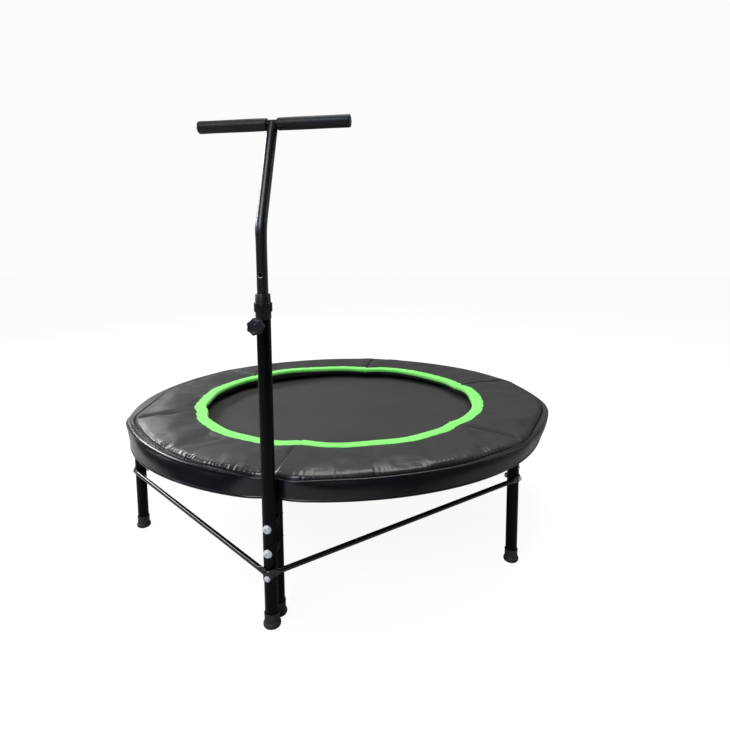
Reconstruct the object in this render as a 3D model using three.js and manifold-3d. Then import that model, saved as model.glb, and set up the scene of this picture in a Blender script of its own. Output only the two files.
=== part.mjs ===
// A mini trampoline with a height-adjustable T-bar handle, in millimetres, +Z up.
// The floor is z = 0. The model is built around the centre of the ring, with the handle at -Y, and is
// moved at the end so that the origin is the middle of its whole footprint on the floor.
import * as THREE from 'three';
import { mergeVertices } from 'three/addons/utils/BufferGeometryUtils.js';
import Module from 'manifold-3d';

const wasm = await Module();
wasm.setup();

const DEG = Math.PI / 180;
const TURN = 2 * Math.PI;
const GAP = 0.3; // between neighbouring pieces
const OVERCUT = 5; // how far a cutter stands out of what it cuts
const TUBE_SIDES = 12; // flats on each tube, and on whatever fits round or inside it
const HOLE_SIDES = 8;
const SCREW_SIDES = 10; // lock screw, and the holes that it runs in
const BOSS_SIDES = 14;
const ROUND_STEPS = 48; // straight steps round the whole trampoline
const COVER_STEPS = 96; // the same, where the post presses the cover in

// Frame: a ring of tube on six legs, the handle's leg in front
const LEG_NAMES = ['front', 'front_right', 'back_right', 'back', 'back_left', 'front_left'];
const FRONT_ANGLE = -90 * DEG;
const LEG_PITCH = TURN / LEG_NAMES.length;
const RING_R = 515; // centreline
const RING_Z = 246;
const TUBE_R = 12.5; // 25 mm tube: ring, legs and post
const WALL = 1.5;
const LEG_TOP_Z = 231;
const LOWER_HOLE_Z = 147;
const HOLE_PITCH = 46;
const UPPER_HOLE_Z = LOWER_HOLE_Z + HOLE_PITCH;
const FRAME_HOLE_R = 4.4;

// Welded stub under the ring that each leg slides over, and the screw that holds the leg on it
const STUB_R = 10.6;
const STUB_BOTTOM_Z = 170;
const LEG_SCREW_Z = 217;
const LEG_SCREW_HEAD_R = 3.4;
const LEG_SCREW_HEAD = 2; // height of its head
const LEG_SCREW_R = 1.9;

// Rubber feet
const FOOT_SOLE_R = 14.6;
const FOOT_R = 16.5; // the flare, between FLARE_BOTTOM_Z and FLARE_TOP_Z
const FLARE_BOTTOM_Z = 5;
const FLARE_TOP_Z = 9;
const FOOT_NECK_R = 14; // from NECK_Z up
const NECK_Z = 17;
const FOOT_HEIGHT = 29;
const FOOT_FLOOR = 6; // rubber under the tube's end

// Handle post, outside the front leg
const POST_OFFSET = 34; // from the front leg's axis
const POST_R = RING_R + POST_OFFSET;
const POST_TOP_Z = 585;
const SADDLE_SIZE = 20;

// Bolts: radii of shank and head, height of the domed head, half width and height of the nut, and how
// far the end stands out of it
const M8 = { shank: 4, head: 7.6, dome: 4.6, nut: 6.5, nutHeight: 6.5, tail: 2 };
const M6 = { shank: 3, head: 5.3, dome: 3.4, nut: 5, nutHeight: 5, tail: 1.5 };
const BOLT_HOLE_GAP = 0.4; // round a shank

// Brace rods
const BRACE_R = 5;
const BRACE_POST_Z = 102.5;
const TAB_THICKNESS = 2.5;
const TAB_HEIGHT = 16;
const TAB_REACH = 15; // flat part between the tube it wraps and the round rod
const TAB_PAST = 34 * DEG; // how far a tab goes on past its bolt
const FLAT_THICKNESS = 2.3; // of the flat part, a little less than the tab
const FLAT_HEIGHT = 13;

// Upper handle tube, T-bar and grips
const HANDLE_R = 9.5;
const HANDLE_WALL = 1.4;
const HANDLE_BOTTOM_Z = 380;
const BEND_Z = 723.6;
const BEND_R = 60;
const LEAN = 21 * DEG; // inwards, over the mat
const TBAR_Z = 907.7;
const TBAR_R = 8;
const TBAR_LENGTH = 270;
const GRIP_R = 11.3;
const GRIP_ROUND = 1.2; // its rounded ends
const GRIP_END = 141; // from the middle to the closed end of a grip
const GRIP_START = 9.9; // from the middle to the open end, beside the upright
const PIN_Z = 560.8; // height of the lock screw
const PIN_PITCH = 42;
const PIN_HOLE_R = 4;
const PIN_HOLES = [-3, -2, -1, 0, 1, 2]; // holes below and above the lock screw, in pitches

// Twist-lock collar and bush at the post's top
const COLLAR_BOTTOM_Z = 581.8;
const COLLAR_RIB_TOP_Z = 597.7;
const COLLAR_TOP_Z = 612.8;
const COLLAR_R = 15.6;
const COLLAR_NECK_R = 13.6; // smooth part, just above the ribs
const COLLAR_END_R = 12.6;
const COLLAR_RIBS = 16;
const RIB_DEPTH = 1.2;
const COLLAR_BORE_R = HANDLE_R + 0.5; // above COLLAR_LEDGE_Z
const COLLAR_LEDGE_Z = POST_TOP_Z + 22;
const COLLAR_POST_BORE_R = TUBE_R + 1.4; // below COLLAR_STEP_Z
const COLLAR_STEP_Z = POST_TOP_Z + 3;
const COLLAR_TAPER_Z = POST_TOP_Z + 5; // the bore narrows a little up to here, then to the ledge
const BUSH_BOTTOM_Z = 569.3;
const LINING_BOTTOM_Z = PIN_Z + 6;
const SLEEVE_WALL = 0.8;
const COLLET_R = HANDLE_R + 1.6;
const COLLET_BOTTOM_Z = POST_TOP_Z + 3;
const COLLET_TOP_Z = POST_TOP_Z + 19;
const COLLET_SLIT = 1.4;

// Lock screw, its boss and the lobed knob. Lengths along the screw start at the post's
// axis.
const SCREW_R = 3.9;
const SCREW_TIP_R = 3.4; // plain tip that enters the holes of the upper tube
const SCREW_TIP_START = 10.4;
const SCREW_TIP_END = 14.4;
const SCREW_CHAMFER = 0.6;
const BOSS_START = TUBE_R - 2;
const BOSS_END = 21;
const BOSS_R = 7.5;
const KNOB_START = 27.5;
const KNOB_BODY_START = 31;
const KNOB_END = 42;
const KNOB_NECK_R = 7;
const KNOB_CAP = 6; // solid plastic over the end of the screw
const KNOB_BEVEL = 1;
const KNOB_STEPS_PER_LOBE = 6;
const KNOB_R = 15;
const KNOB_LOBES = 7;
const KNOB_LOBE_DEPTH = 1.8;

// Mat, hem and laced elastic cord
const MAT_R = 404.5;
const MAT_Z = 247;
const MAT_THICKNESS = 1.8;
const HEM_INNER_R = 405;
const HEM_OUTER_R = 432;
const HEM_THICKNESS = 5;
const EYELET_R = 421;
const EYELET_HOLE_R = 5;
const EYELET_SIDES = 6;
const LACINGS = 24;
const CORD_R = 3;
const CORD_SIDES = 4;
const CORD_DIP = 7; // how far the cord stands above and below the mat at an eyelet
const CORD_WRAP_R = 18.3; // cord's corners round the ring tube
const CORD_WRAP = [120, 60, 0, -60, -120]; // degrees round the ring tube, from its top inner side

// Cover: six sewn pad parts, binding, skirt and elastic
const PAD_NAMES = ['front_right', 'right', 'back_right', 'back_left', 'left', 'front_left'];
const PAD_INNER_R = 361;
const PAD_OUTER_R = 527;
const PAD_BOTTOM_Z = 266.7;
const PAD_TOP_Z = 278;
const SEAM_GAP = 0.8;
const BINDING_INNER_R = 357.5;
const BINDING_OUTER_R = 388;
const BINDING_THICKNESS = 1.3;
const SKIRT_R = 545;
const SKIRT_BOTTOM_Z = 235;
const SKIRT_THICKNESS = 2;
const SKIRT_TOP_Z = PAD_TOP_Z - 1;
const SKIRT_SHOULDER = 6; // height of the rounded shoulder
const FLANGE_INNER_R = PAD_OUTER_R + 1.5; // the skirt's top ends here, beside the pad parts
const DENT = 11; // the post presses the skirt in
const DENT_WIDTH = 30;
const ELASTIC_R = 2;
const ELASTIC_Z = SKIRT_BOTTOM_Z + 3;

const STEEL_BLACK = paint(0x1b1c1f, 0.35, 0.6);
const ZINC = paint(0xcfd2d6, 0.3, 0.9);
const RUBBER = paint(0x232427, 0.85, 0);
const PLASTIC = paint(0x26282c, 0.55, 0);
const FOAM = paint(0x1c1d1f, 0.95, 0);
const VINYL = paint(0x202226, 0.35, 0);
const GREEN = paint(0x7dfa64, 0.8, 0);
const WOVEN = paint(0x3a3937, 0.9, 0);
const WEBBING = paint(0x1a1a1a, 0.9, 0);

function paint(color, roughness, metalness) {
  return new THREE.MeshStandardMaterial({ color, roughness, metalness });
}

// ---------------------------------------------------------------- solids and booleans

// A closed three.js geometry as a solid, whichever way its faces were wound
function solid(geometry) {
  const bare = geometry.clone();
  bare.deleteAttribute('normal');
  bare.deleteAttribute('uv');
  const merged = mergeVertices(bare, 1e-4);
  const vertProperties = new Float32Array(merged.attributes.position.array);
  const triVerts = new Uint32Array(merged.index.array);
  if (signedVolume(vertProperties, triVerts) < 0) {
    for (let i = 0; i < triVerts.length; i += 3) {
      [triVerts[i + 1], triVerts[i + 2]] = [triVerts[i + 2], triVerts[i + 1]];
    }
  }
  return new wasm.Manifold(new wasm.Mesh({ numProp: 3, vertProperties, triVerts }));
}

function signedVolume(vertices, triangles) {
  const corner = (i) => new THREE.Vector3().fromArray(vertices, 3 * triangles[i]);
  let sum = 0;
  for (let i = 0; i < triangles.length; i += 3) {
    sum += corner(i).dot(corner(i + 1).cross(corner(i + 2)));
  }
  return sum / 6;
}

function geometryOf(body) {
  const { vertProperties, triVerts } = body.getMesh();
  const geometry = new THREE.BufferGeometry();
  geometry.setAttribute('position', new THREE.BufferAttribute(vertProperties, 3));
  geometry.setIndex(new THREE.BufferAttribute(triVerts, 1));
  geometry.computeVertexNormals();
  return geometry;
}

function named(name, body, material) {
  const mesh = new THREE.Mesh(geometryOf(body), material);
  mesh.name = name;
  return mesh;
}

// A profile of [radius, z] points turned about the Z axis
function turned(profile, segments) {
  const points = profile.map(([r, z]) => new THREE.Vector2(r, z));
  return solid(new THREE.LatheGeometry(points, segments).rotateX(Math.PI / 2));
}

function pipe(outer, inner, z0, z1, segments) {
  return turned([[inner, z0], [outer, z0], [outer, z1], [inner, z1], [inner, z0]], segments);
}

function bar(radius, z0, z1, segments) {
  return turned([[0, z0], [radius, z0], [radius, z1], [0, z1]], segments);
}

// A round bar along +X from x0 to x1, at height z
function crossBar(radius, x0, x1, z, segments) {
  const cylinder = new THREE.CylinderGeometry(radius, radius, x1 - x0, segments);
  return solid(cylinder.rotateZ(Math.PI / 2).translate((x0 + x1) / 2, 0, z));
}

// A profile of [x, radius] points turned about the X axis, at height z
function crossTurned(profile, z, segments) {
  return turned(profile.map(([x, r]) => [r, x]), segments).rotate([0, 90, 0]).translate([0, 0, z]);
}

function block(x0, x1, y0, y1, z0, z1) {
  const box = new THREE.BoxGeometry(x1 - x0, y1 - y0, z1 - z0);
  return solid(box.translate((x0 + x1) / 2, (y0 + y1) / 2, (z0 + z1) / 2));
}

function union(bodies) {
  return bodies.reduce((all, body) => all.add(body));
}

// A solid between closed rings of points: ring i joins ring i + 1, and the last joins the first
function loopOfRings(rings) {
  const size = rings[0].length;
  const position = rings.flat().flatMap((p) => p.toArray());
  const index = [];
  rings.forEach((ring, i) => {
    const here = i * size;
    const next = ((i + 1) % rings.length) * size;
    ring.forEach((_, j) => {
      const k = (j + 1) % size;
      index.push(here + j, next + j, next + k, here + j, next + k, here + k);
    });
  });
  const geometry = new THREE.BufferGeometry();
  geometry.setAttribute('position', new THREE.Float32BufferAttribute(position, 3));
  geometry.setIndex(index);
  return solid(geometry);
}

// A closed band round the Z axis, whose [radius, z] section may change with the angle
function bandAround(sectionAt, steps) {
  const rings = [];
  for (let i = 0; i < steps; i += 1) {
    const angle = (i / steps) * TURN;
    rings.push(sectionAt(angle).map(([r, z]) => polar(r, angle, z)));
  }
  return loopOfRings(rings);
}

function polar(r, angle, z) {
  return new THREE.Vector3(r * Math.cos(angle), r * Math.sin(angle), z);
}

// ---------------------------------------------------------------- frame

function stationAngle(i) {
  return FRONT_ANGLE + i * LEG_PITCH;
}

// A group whose +X points outwards through leg i, with its origin on the ring's axis
function station(i) {
  const group = new THREE.Group();
  group.rotation.z = stationAngle(i);
  return group;
}

function aroundLegs(body) {
  const turns = LEG_NAMES.map((_, i) => stationAngle(i) / DEG);
  return union(turns.map((degrees) => body.rotate([0, 0, degrees])));
}

function ringTube(radius, around, along) {
  return solid(new THREE.TorusGeometry(RING_R, radius, around, along).translate(0, 0, RING_Z));
}

function frameRing() {
  const stub = bar(STUB_R, STUB_BOTTOM_Z, RING_Z, TUBE_SIDES).translate([RING_R, 0, 0]);
  const bore = bar(STUB_R - WALL, STUB_BOTTOM_Z - OVERCUT, RING_Z, TUBE_SIDES).translate([RING_R, 0, 0]);
  const holes = [crossHole(FRAME_HOLE_R, UPPER_HOLE_Z, RING_R), screwHole(RING_R)];
  const outside = ringTube(TUBE_R, 8, ROUND_STEPS).add(aroundLegs(stub));
  const inside = ringTube(TUBE_R - WALL, 6, ROUND_STEPS).add(aroundLegs(bore));
  return outside.subtract(inside).subtract(aroundLegs(union(holes)));
}

// Right through a tube at radius r, along the station's X axis
function crossHole(radius, z, r) {
  return crossBar(radius, r - TUBE_R - OVERCUT, r + TUBE_R + OVERCUT, z, HOLE_SIDES);
}

// Only through the outer side
function screwHole(r) {
  const radius = LEG_SCREW_R + BOLT_HOLE_GAP;
  return crossBar(radius, r + STUB_R / 2, r + TUBE_R + OVERCUT, LEG_SCREW_Z, HOLE_SIDES);
}

function legTube() {
  const tube = pipe(TUBE_R, TUBE_R - WALL, FOOT_FLOOR + GAP, LEG_TOP_Z, TUBE_SIDES);
  const bolts = [LOWER_HOLE_Z, UPPER_HOLE_Z].map((z) => crossHole(FRAME_HOLE_R, z, 0));
  return tube.subtract(union(bolts)).subtract(screwHole(0));
}

function legScrew() {
  const head = TUBE_R + GAP;
  const end = STUB_R - WALL - 2;
  return crossTurned([
    [end, 0], [end, LEG_SCREW_R], [head, LEG_SCREW_R], [head, LEG_SCREW_HEAD_R],
    [head + LEG_SCREW_HEAD / 2, LEG_SCREW_HEAD_R], [head + LEG_SCREW_HEAD, 0],
  ], LEG_SCREW_Z, 6);
}

function foot() {
  const bore = TUBE_R + GAP;
  return turned([
    [0, 0], [FOOT_SOLE_R, 0], [FOOT_R, FLARE_BOTTOM_Z], [FOOT_R, FLARE_TOP_Z], [FOOT_NECK_R, NECK_Z],
    [FOOT_NECK_R, FOOT_HEIGHT], [bore, FOOT_HEIGHT], [bore, FOOT_FLOOR], [0, FOOT_FLOOR],
  ], TUBE_SIDES);
}

function addLegs(group) {
  const tube = legTube();
  const screw = legScrew();
  const rubber = foot();
  LEG_NAMES.forEach((name, i) => {
    const at = station(i);
    const pieces = [
      named(`leg_${name}`, tube, STEEL_BLACK),
      named(`leg_screw_${name}`, screw, ZINC),
      named(`foot_${name}`, rubber, RUBBER),
    ];
    pieces.forEach((piece) => piece.position.setX(RING_R));
    at.add(...pieces);
    group.add(at);
  });
}

// ---------------------------------------------------------------- handle post and its fixings

function postTube() {
  const tube = pipe(TUBE_R, TUBE_R - WALL, FOOT_FLOOR + GAP, POST_TOP_Z, TUBE_SIDES);
  const bolts = [LOWER_HOLE_Z, UPPER_HOLE_Z].map((z) => crossHole(FRAME_HOLE_R, z, 0));
  const brace = crossHole(M6.shank + BOLT_HOLE_GAP, BRACE_POST_Z, 0);
  const pin = crossBar(SCREW_R + BOLT_HOLE_GAP, 0, TUBE_R + OVERCUT, PIN_Z, HOLE_SIDES);
  return tube.subtract(union([...bolts, brace, pin]));
}

// The block that fills the space between the front leg and the post
function saddle() {
  const half = SADDLE_SIZE / 2;
  const body = block(RING_R, POST_R, -half, half, -half, half);
  const tubes = [RING_R, POST_R].map((r) => (
    bar(TUBE_R + GAP, -half - OVERCUT, half + OVERCUT, TUBE_SIDES).translate([r, 0, 0])
  ));
  const hole = crossBar(M8.shank + BOLT_HOLE_GAP, RING_R, POST_R, 0, HOLE_SIDES);
  return body.subtract(union([...tubes, hole]));
}

// A domed bolt along X with its head outside `outer` and its nut inside `back`
function bolt(size, back, outer) {
  const end = back - size.nutHeight - size.tail;
  const bevel = 0.4 * size.dome;
  return crossTurned([
    [end, 0], [end, size.shank], [outer, size.shank], [outer, size.head],
    [outer + bevel, size.head], [outer + size.dome, 0.45 * size.head], [outer + size.dome, 0],
  ], 0, 12);
}

// A hexagon nut round the end of a bolt, on the inner side of a face at `outer`
function nut(size, outer) {
  const inner = outer - size.nutHeight;
  const hexagon = crossBar(size.nut / Math.cos(30 * DEG), inner, outer, 0, 6);
  return hexagon.subtract(crossBar(size.shank + GAP, inner - OVERCUT, outer + OVERCUT, 0, 10));
}

function addPost(group) {
  const at = station(0);
  const post = named('handle_post', postTube(), STEEL_BLACK);
  const rubber = named('foot_handle_post', foot(), RUBBER);
  [post, rubber].forEach((piece) => piece.position.setX(POST_R));
  at.add(post, rubber);
  const head = POST_R + TUBE_R + GAP;
  const back = RING_R - TUBE_R - GAP;
  [['lower', LOWER_HOLE_Z], ['upper', UPPER_HOLE_Z]].forEach(([name, z]) => {
    const pieces = [
      named(`saddle_${name}`, saddle(), PLASTIC),
      named(`post_bolt_${name}`, bolt(M8, back, head), ZINC),
      named(`post_nut_${name}`, nut(M8, back), ZINC),
    ];
    pieces.forEach((piece) => piece.position.setZ(z));
    at.add(...pieces);
  });
  group.add(at);
}

// ---------------------------------------------------------------- brace rods

// Flattened rod end wrapped round a tube at the origin, from the bolt at angle 0 to the angle where the
// rod leaves, on the side given by `side` (+1 or -1)
function braceTab(inner, wrap, side) {
  const outer = inner + TAB_THICKNESS;
  const shape = new THREE.Shape();
  const from = side > 0 ? -TAB_PAST : -wrap;
  const to = side > 0 ? wrap : TAB_PAST;
  shape.absarc(0, 0, outer, from, to, false);
  shape.absarc(0, 0, inner, to, from, true);
  const strip = new THREE.ExtrudeGeometry(shape, {
    depth: TAB_HEIGHT, bevelEnabled: false, curveSegments: 6,
  });
  const hole = crossBar(M6.shank + BOLT_HOLE_GAP, 0, 3 * TUBE_R, 0, HOLE_SIDES);
  return solid(strip.translate(0, 0, -TAB_HEIGHT / 2)).subtract(hole);
}

// A bar between two points, round or flat, whose local Y stays level
function barBetween(geometry, from, to) {
  const along = to.clone().sub(from).normalize();
  const level = new THREE.Vector3(-along.y, along.x, 0).normalize();
  const up = new THREE.Vector3().crossVectors(along, level);
  const middle = from.clone().lerp(to, 0.5);
  const place = new THREE.Matrix4().makeBasis(along, level, up).setPosition(middle);
  return solid(geometry.applyMatrix4(place));
}

// One brace from the post to the leg at station i, bolted at heights BRACE_POST_Z and legZ. `layer` is
// how many tabs already lie on the post.
function brace(i, legZ, layer) {
  const side = i === 1 ? 1 : -1;
  const postAngle = stationAngle(0);
  const legAngle = stationAngle(i);
  const postAxis = polar(POST_R, postAngle, BRACE_POST_Z);
  const legAxis = polar(RING_R, legAngle, legZ);
  const chord = legAxis.clone().sub(postAxis).setZ(0).normalize();
  const outward = new THREE.Vector3(side * chord.y, -side * chord.x, 0);
  const outwardAngle = Math.atan2(outward.y, outward.x);
  const postInner = TUBE_R + GAP + layer * (TAB_THICKNESS + GAP);
  const legInner = TUBE_R + GAP;
  const start = postAxis.clone().addScaledVector(outward, postInner + TAB_THICKNESS / 2);
  const end = legAxis.clone().addScaledVector(outward, legInner + TAB_THICKNESS / 2);
  const reach = TAB_REACH / start.distanceTo(end);
  const rodStart = start.clone().lerp(end, reach);
  const rodEnd = end.clone().lerp(start, reach);
  const postWrap = side * angleBetween(postAngle, outwardAngle);
  const legWrap = side * angleBetween(outwardAngle, legAngle);
  const placed = (tab, angle, at) => tab.rotate([0, 0, angle / DEG]).translate(at.toArray());
  const rodLength = rodStart.distanceTo(rodEnd);
  const rod = new THREE.CylinderGeometry(BRACE_R, BRACE_R, rodLength, 8).rotateZ(Math.PI / 2);
  const flat = new THREE.BoxGeometry(TAB_REACH + BRACE_R, FLAT_THICKNESS, FLAT_HEIGHT);
  return union([
    placed(braceTab(postInner, postWrap, side), postAngle, postAxis),
    placed(braceTab(legInner, legWrap, -side), legAngle, legAxis),
    barBetween(rod, rodStart, rodEnd),
    barBetween(flat.clone(), start, rodStart),
    barBetween(flat, rodEnd, end),
  ]);
}

function angleBetween(from, to) {
  return Math.atan2(Math.sin(to - from), Math.cos(to - from));
}

function addBraces(group) {
  const braces = [
    { name: 'right', leg: 1, z: UPPER_HOLE_Z, layer: 1 },
    { name: 'left', leg: 5, z: LOWER_HOLE_Z, layer: 0 },
  ];
  braces.forEach(({ name, leg, z, layer }) => {
    group.add(named(`brace_rod_${name}`, brace(leg, z, layer), STEEL_BLACK));
    addBraceBolt(group, name, leg, RING_R, z, 1);
  });
  addBraceBolt(group, 'post', 0, POST_R, BRACE_POST_Z, 2);
}

function addBraceBolt(group, name, i, r, z, tabs) {
  const at = station(i);
  const head = r + TUBE_R + GAP + tabs * (TAB_THICKNESS + GAP);
  const back = r - TUBE_R - GAP;
  const pieces = [
    named(`brace_bolt_${name}`, bolt(M6, back, head), ZINC),
    named(`brace_nut_${name}`, nut(M6, back), ZINC),
  ];
  pieces.forEach((piece) => piece.position.setZ(z));
  at.add(...pieces);
  group.add(at);
}

// ---------------------------------------------------------------- upper handle

// The handle is built in the station's frame: +X outwards, the post's axis at the origin. It leans to -X.
// Its centreline is a line up to bendStart, a curve round the corner to bendEnd, and a line to the top.
function handlePath() {
  const half = BEND_R * Math.tan(LEAN / 2);
  const lean = new THREE.Vector3(-Math.sin(LEAN), 0, Math.cos(LEAN));
  const corner = new THREE.Vector3(0, 0, BEND_Z);
  const bendStart = corner.clone().setZ(BEND_Z - half);
  const bendEnd = corner.clone().addScaledVector(lean, half);
  const top = corner.clone().addScaledVector(lean, (TBAR_Z - BEND_Z) / Math.cos(LEAN));
  return { bendStart, bendEnd, corner, top };
}

// A round bar on the handle's centreline, from `extra` below its bottom up to the T-bar's axis
function handleSweep(radius, extra) {
  const { bendStart, bendEnd, corner, top } = handlePath();
  const bend = new THREE.QuadraticBezierCurve3(bendStart, corner, bendEnd);
  const bends = [0, 0.25, 0.5, 0.75, 1];
  const up = new THREE.Vector3(0, 0, 1);
  const stops = [
    { at: new THREE.Vector3(0, 0, HANDLE_BOTTOM_Z - extra), along: up },
    ...bends.map((t) => ({ at: bend.getPoint(t), along: bend.getTangent(t) })),
    { at: top, along: bend.getTangent(1) },
  ];
  const aside = new THREE.Vector3(0, 1, 0);
  const rings = stops.map(({ at, along }) => {
    const across = new THREE.Vector3().crossVectors(aside, along).normalize();
    return circle(at, across, aside, radius, TUBE_SIDES);
  });
  return cappedRings(rings);
}

function circle(at, u, v, radius, sides) {
  return Array.from({ length: sides }, (_, j) => {
    const a = (j / sides) * TURN;
    return at.clone().addScaledVector(u, radius * Math.cos(a)).addScaledVector(v, radius * Math.sin(a));
  });
}

// A solid through rings of points, closed with a fan at each end
function cappedRings(rings) {
  const size = rings[0].length;
  const index = [];
  for (let i = 0; i < rings.length - 1; i += 1) {
    for (let j = 0; j < size; j += 1) {
      const k = (j + 1) % size;
      const [a, b, c, d] = [i * size + j, (i + 1) * size + j, (i + 1) * size + k, i * size + k];
      index.push(a, b, c, a, c, d);
    }
  }
  const last = (rings.length - 1) * size;
  for (let j = 1; j < size - 1; j += 1) {
    index.push(0, j, j + 1, last, last + j + 1, last + j);
  }
  const geometry = new THREE.BufferGeometry();
  const position = rings.flat().flatMap((p) => p.toArray());
  geometry.setAttribute('position', new THREE.Float32BufferAttribute(position, 3));
  geometry.setIndex(index);
  return solid(geometry);
}

// Along the T-bar, which runs along Y
function alongTbar(body) {
  return body.rotate([90, 0, 0]).translate([handlePath().top.x, 0, TBAR_Z]);
}

function handleTube() {
  const outside = handleSweep(HANDLE_R, 0);
  const inside = handleSweep(HANDLE_R - HANDLE_WALL, OVERCUT);
  const pins = PIN_HOLES.map((k) => (
    crossBar(PIN_HOLE_R, 0, 2 * HANDLE_R, PIN_Z + k * PIN_PITCH, HOLE_SIDES)
  ));
  const notch = alongTbar(bar(TBAR_R + GAP, -3 * HANDLE_R, 3 * HANDLE_R, TUBE_SIDES));
  return outside.subtract(inside).subtract(union(pins)).subtract(notch);
}

function tbarTube() {
  const half = TBAR_LENGTH / 2;
  return alongTbar(pipe(TBAR_R, TBAR_R - WALL, -half, half, TUBE_SIDES));
}

function grip(side) {
  const inner = TBAR_R + GAP;
  const half = TBAR_LENGTH / 2 + GAP;
  const body = turned([
    [inner, GRIP_START], [GRIP_R - GRIP_ROUND, GRIP_START], [GRIP_R, GRIP_START + GRIP_ROUND],
    [GRIP_R, GRIP_END - GRIP_ROUND], [GRIP_R - GRIP_ROUND, GRIP_END], [0, GRIP_END],
    [0, half], [inner, half], [inner, GRIP_START],
  ], TUBE_SIDES);
  return alongTbar(side > 0 ? body : body.mirror([0, 0, 1]));
}

// ---------------------------------------------------------------- collar, bush, knob and lock screw

// A ribbed ring below a smooth taper: every second column of points is a groove
function collar() {
  const columns = 2 * COLLAR_RIBS;
  return bandAround((angle) => {
    const groove = Math.round((angle / TURN) * columns) % 2;
    const rib = COLLAR_R - groove * RIB_DEPTH;
    return [
      [COLLAR_POST_BORE_R, COLLAR_BOTTOM_Z], [rib, COLLAR_BOTTOM_Z], [rib, COLLAR_RIB_TOP_Z],
      [COLLAR_NECK_R, COLLAR_RIB_TOP_Z + 1], [COLLAR_END_R, COLLAR_TOP_Z],
      [COLLAR_BORE_R, COLLAR_TOP_Z], [COLLAR_BORE_R, COLLAR_LEDGE_Z],
      [COLLAR_POST_BORE_R - 2, COLLAR_LEDGE_Z - 1], [COLLAR_POST_BORE_R - 1.5, COLLAR_TAPER_Z],
      [COLLAR_POST_BORE_R, COLLAR_STEP_Z],
    ];
  }, columns);
}

// The bush sleeves the post's end, lines it round the upper tube, and stands up inside the collar as a
// slit collet
function bush() {
  const inner = HANDLE_R + 0.3;
  const lining = TUBE_R - WALL - GAP;
  const sleeve = TUBE_R + GAP;
  const outer = sleeve + SLEEVE_WALL;
  const postTop = POST_TOP_Z + GAP;
  const body = turned([
    [inner, LINING_BOTTOM_Z], [lining, LINING_BOTTOM_Z], [lining, postTop], [sleeve, postTop],
    [sleeve, BUSH_BOTTOM_Z], [outer, BUSH_BOTTOM_Z], [outer, POST_TOP_Z + 1.5],
    [COLLET_R, COLLET_BOTTOM_Z], [COLLET_R, COLLET_TOP_Z], [inner, COLLET_TOP_Z], [inner, LINING_BOTTOM_Z],
  ], TUBE_SIDES);
  const [wide, narrow] = [2 * HANDLE_R, COLLET_SLIT / 2];
  const slit = block(-wide, wide, -narrow, narrow, COLLET_BOTTOM_Z + 3, COLLET_TOP_Z + OVERCUT);
  return body.subtract(slit).subtract(slit.rotate([0, 0, 90]));
}

function lockScrew() {
  const end = KNOB_END - KNOB_CAP;
  return crossTurned([
    [SCREW_TIP_START, 0], [SCREW_TIP_START, SCREW_TIP_R - SCREW_CHAMFER],
    [SCREW_TIP_START + SCREW_CHAMFER, SCREW_TIP_R], [SCREW_TIP_END, SCREW_TIP_R],
    [SCREW_TIP_END + SCREW_CHAMFER, SCREW_R], [end, SCREW_R], [end, 0],
  ], PIN_Z, SCREW_SIDES);
}

// The threaded boss welded to the post
function lockBoss() {
  const body = crossBar(BOSS_R, BOSS_START, BOSS_END, PIN_Z, BOSS_SIDES);
  const post = bar(TUBE_R + GAP, PIN_Z - 2 * BOSS_R, PIN_Z + 2 * BOSS_R, TUBE_SIDES);
  const thread = crossBar(SCREW_R + GAP, 0, BOSS_END + OVERCUT, PIN_Z, SCREW_SIDES);
  return body.subtract(post).subtract(thread);
}

// Lobed disc with a round neck on its inner side, moulded over the lock screw's end
function knob() {
  const shape = new THREE.Shape();
  const points = KNOB_LOBES * KNOB_STEPS_PER_LOBE;
  for (let i = 0; i < points; i += 1) {
    const angle = (i / points) * TURN;
    const r = KNOB_R - KNOB_LOBE_DEPTH * 0.5 * (1 - Math.cos(KNOB_LOBES * angle));
    const point = [r * Math.cos(angle), r * Math.sin(angle)];
    if (i === 0) shape.moveTo(...point);
    else shape.lineTo(...point);
  }
  const disc = new THREE.ExtrudeGeometry(shape, {
    depth: KNOB_END - KNOB_BODY_START - 2 * KNOB_BEVEL,
    bevelThickness: KNOB_BEVEL,
    bevelSize: KNOB_BEVEL,
    bevelOffset: -KNOB_BEVEL,
    bevelSegments: 1,
  });
  disc.translate(0, 0, KNOB_BODY_START + KNOB_BEVEL);
  const head = solid(disc).rotate([0, 90, 0]).translate([0, 0, PIN_Z]);
  const neck = crossBar(KNOB_NECK_R, KNOB_START, KNOB_BODY_START + 2 * KNOB_BEVEL, PIN_Z, BOSS_SIDES);
  const screwEnd = KNOB_END - KNOB_CAP + GAP;
  const socket = crossBar(SCREW_R + GAP, KNOB_START - OVERCUT, screwEnd, PIN_Z, SCREW_SIDES);
  return head.add(neck).subtract(socket);
}

function addHandle(group) {
  const at = station(0);
  const pieces = [
    named('handle_tube', handleTube(), STEEL_BLACK),
    named('t_bar', tbarTube(), STEEL_BLACK),
    named('grip_right', grip(-1), FOAM),
    named('grip_left', grip(1), FOAM),
    named('lock_collar', collar(), PLASTIC),
    named('post_bush', bush(), PLASTIC),
    named('lock_boss', lockBoss(), STEEL_BLACK),
    named('lock_screw', lockScrew(), ZINC),
    named('lock_knob', knob(), PLASTIC),
  ];
  pieces.forEach((piece) => piece.position.setX(POST_R));
  at.add(...pieces);
  group.add(at);
}

// ---------------------------------------------------------------- mat and suspension

function jumpMat() {
  const half = MAT_THICKNESS / 2;
  return bar(MAT_R, MAT_Z - half, MAT_Z + half, ROUND_STEPS);
}

function lacingAngle(i) {
  return (i / LACINGS) * TURN;
}

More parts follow.
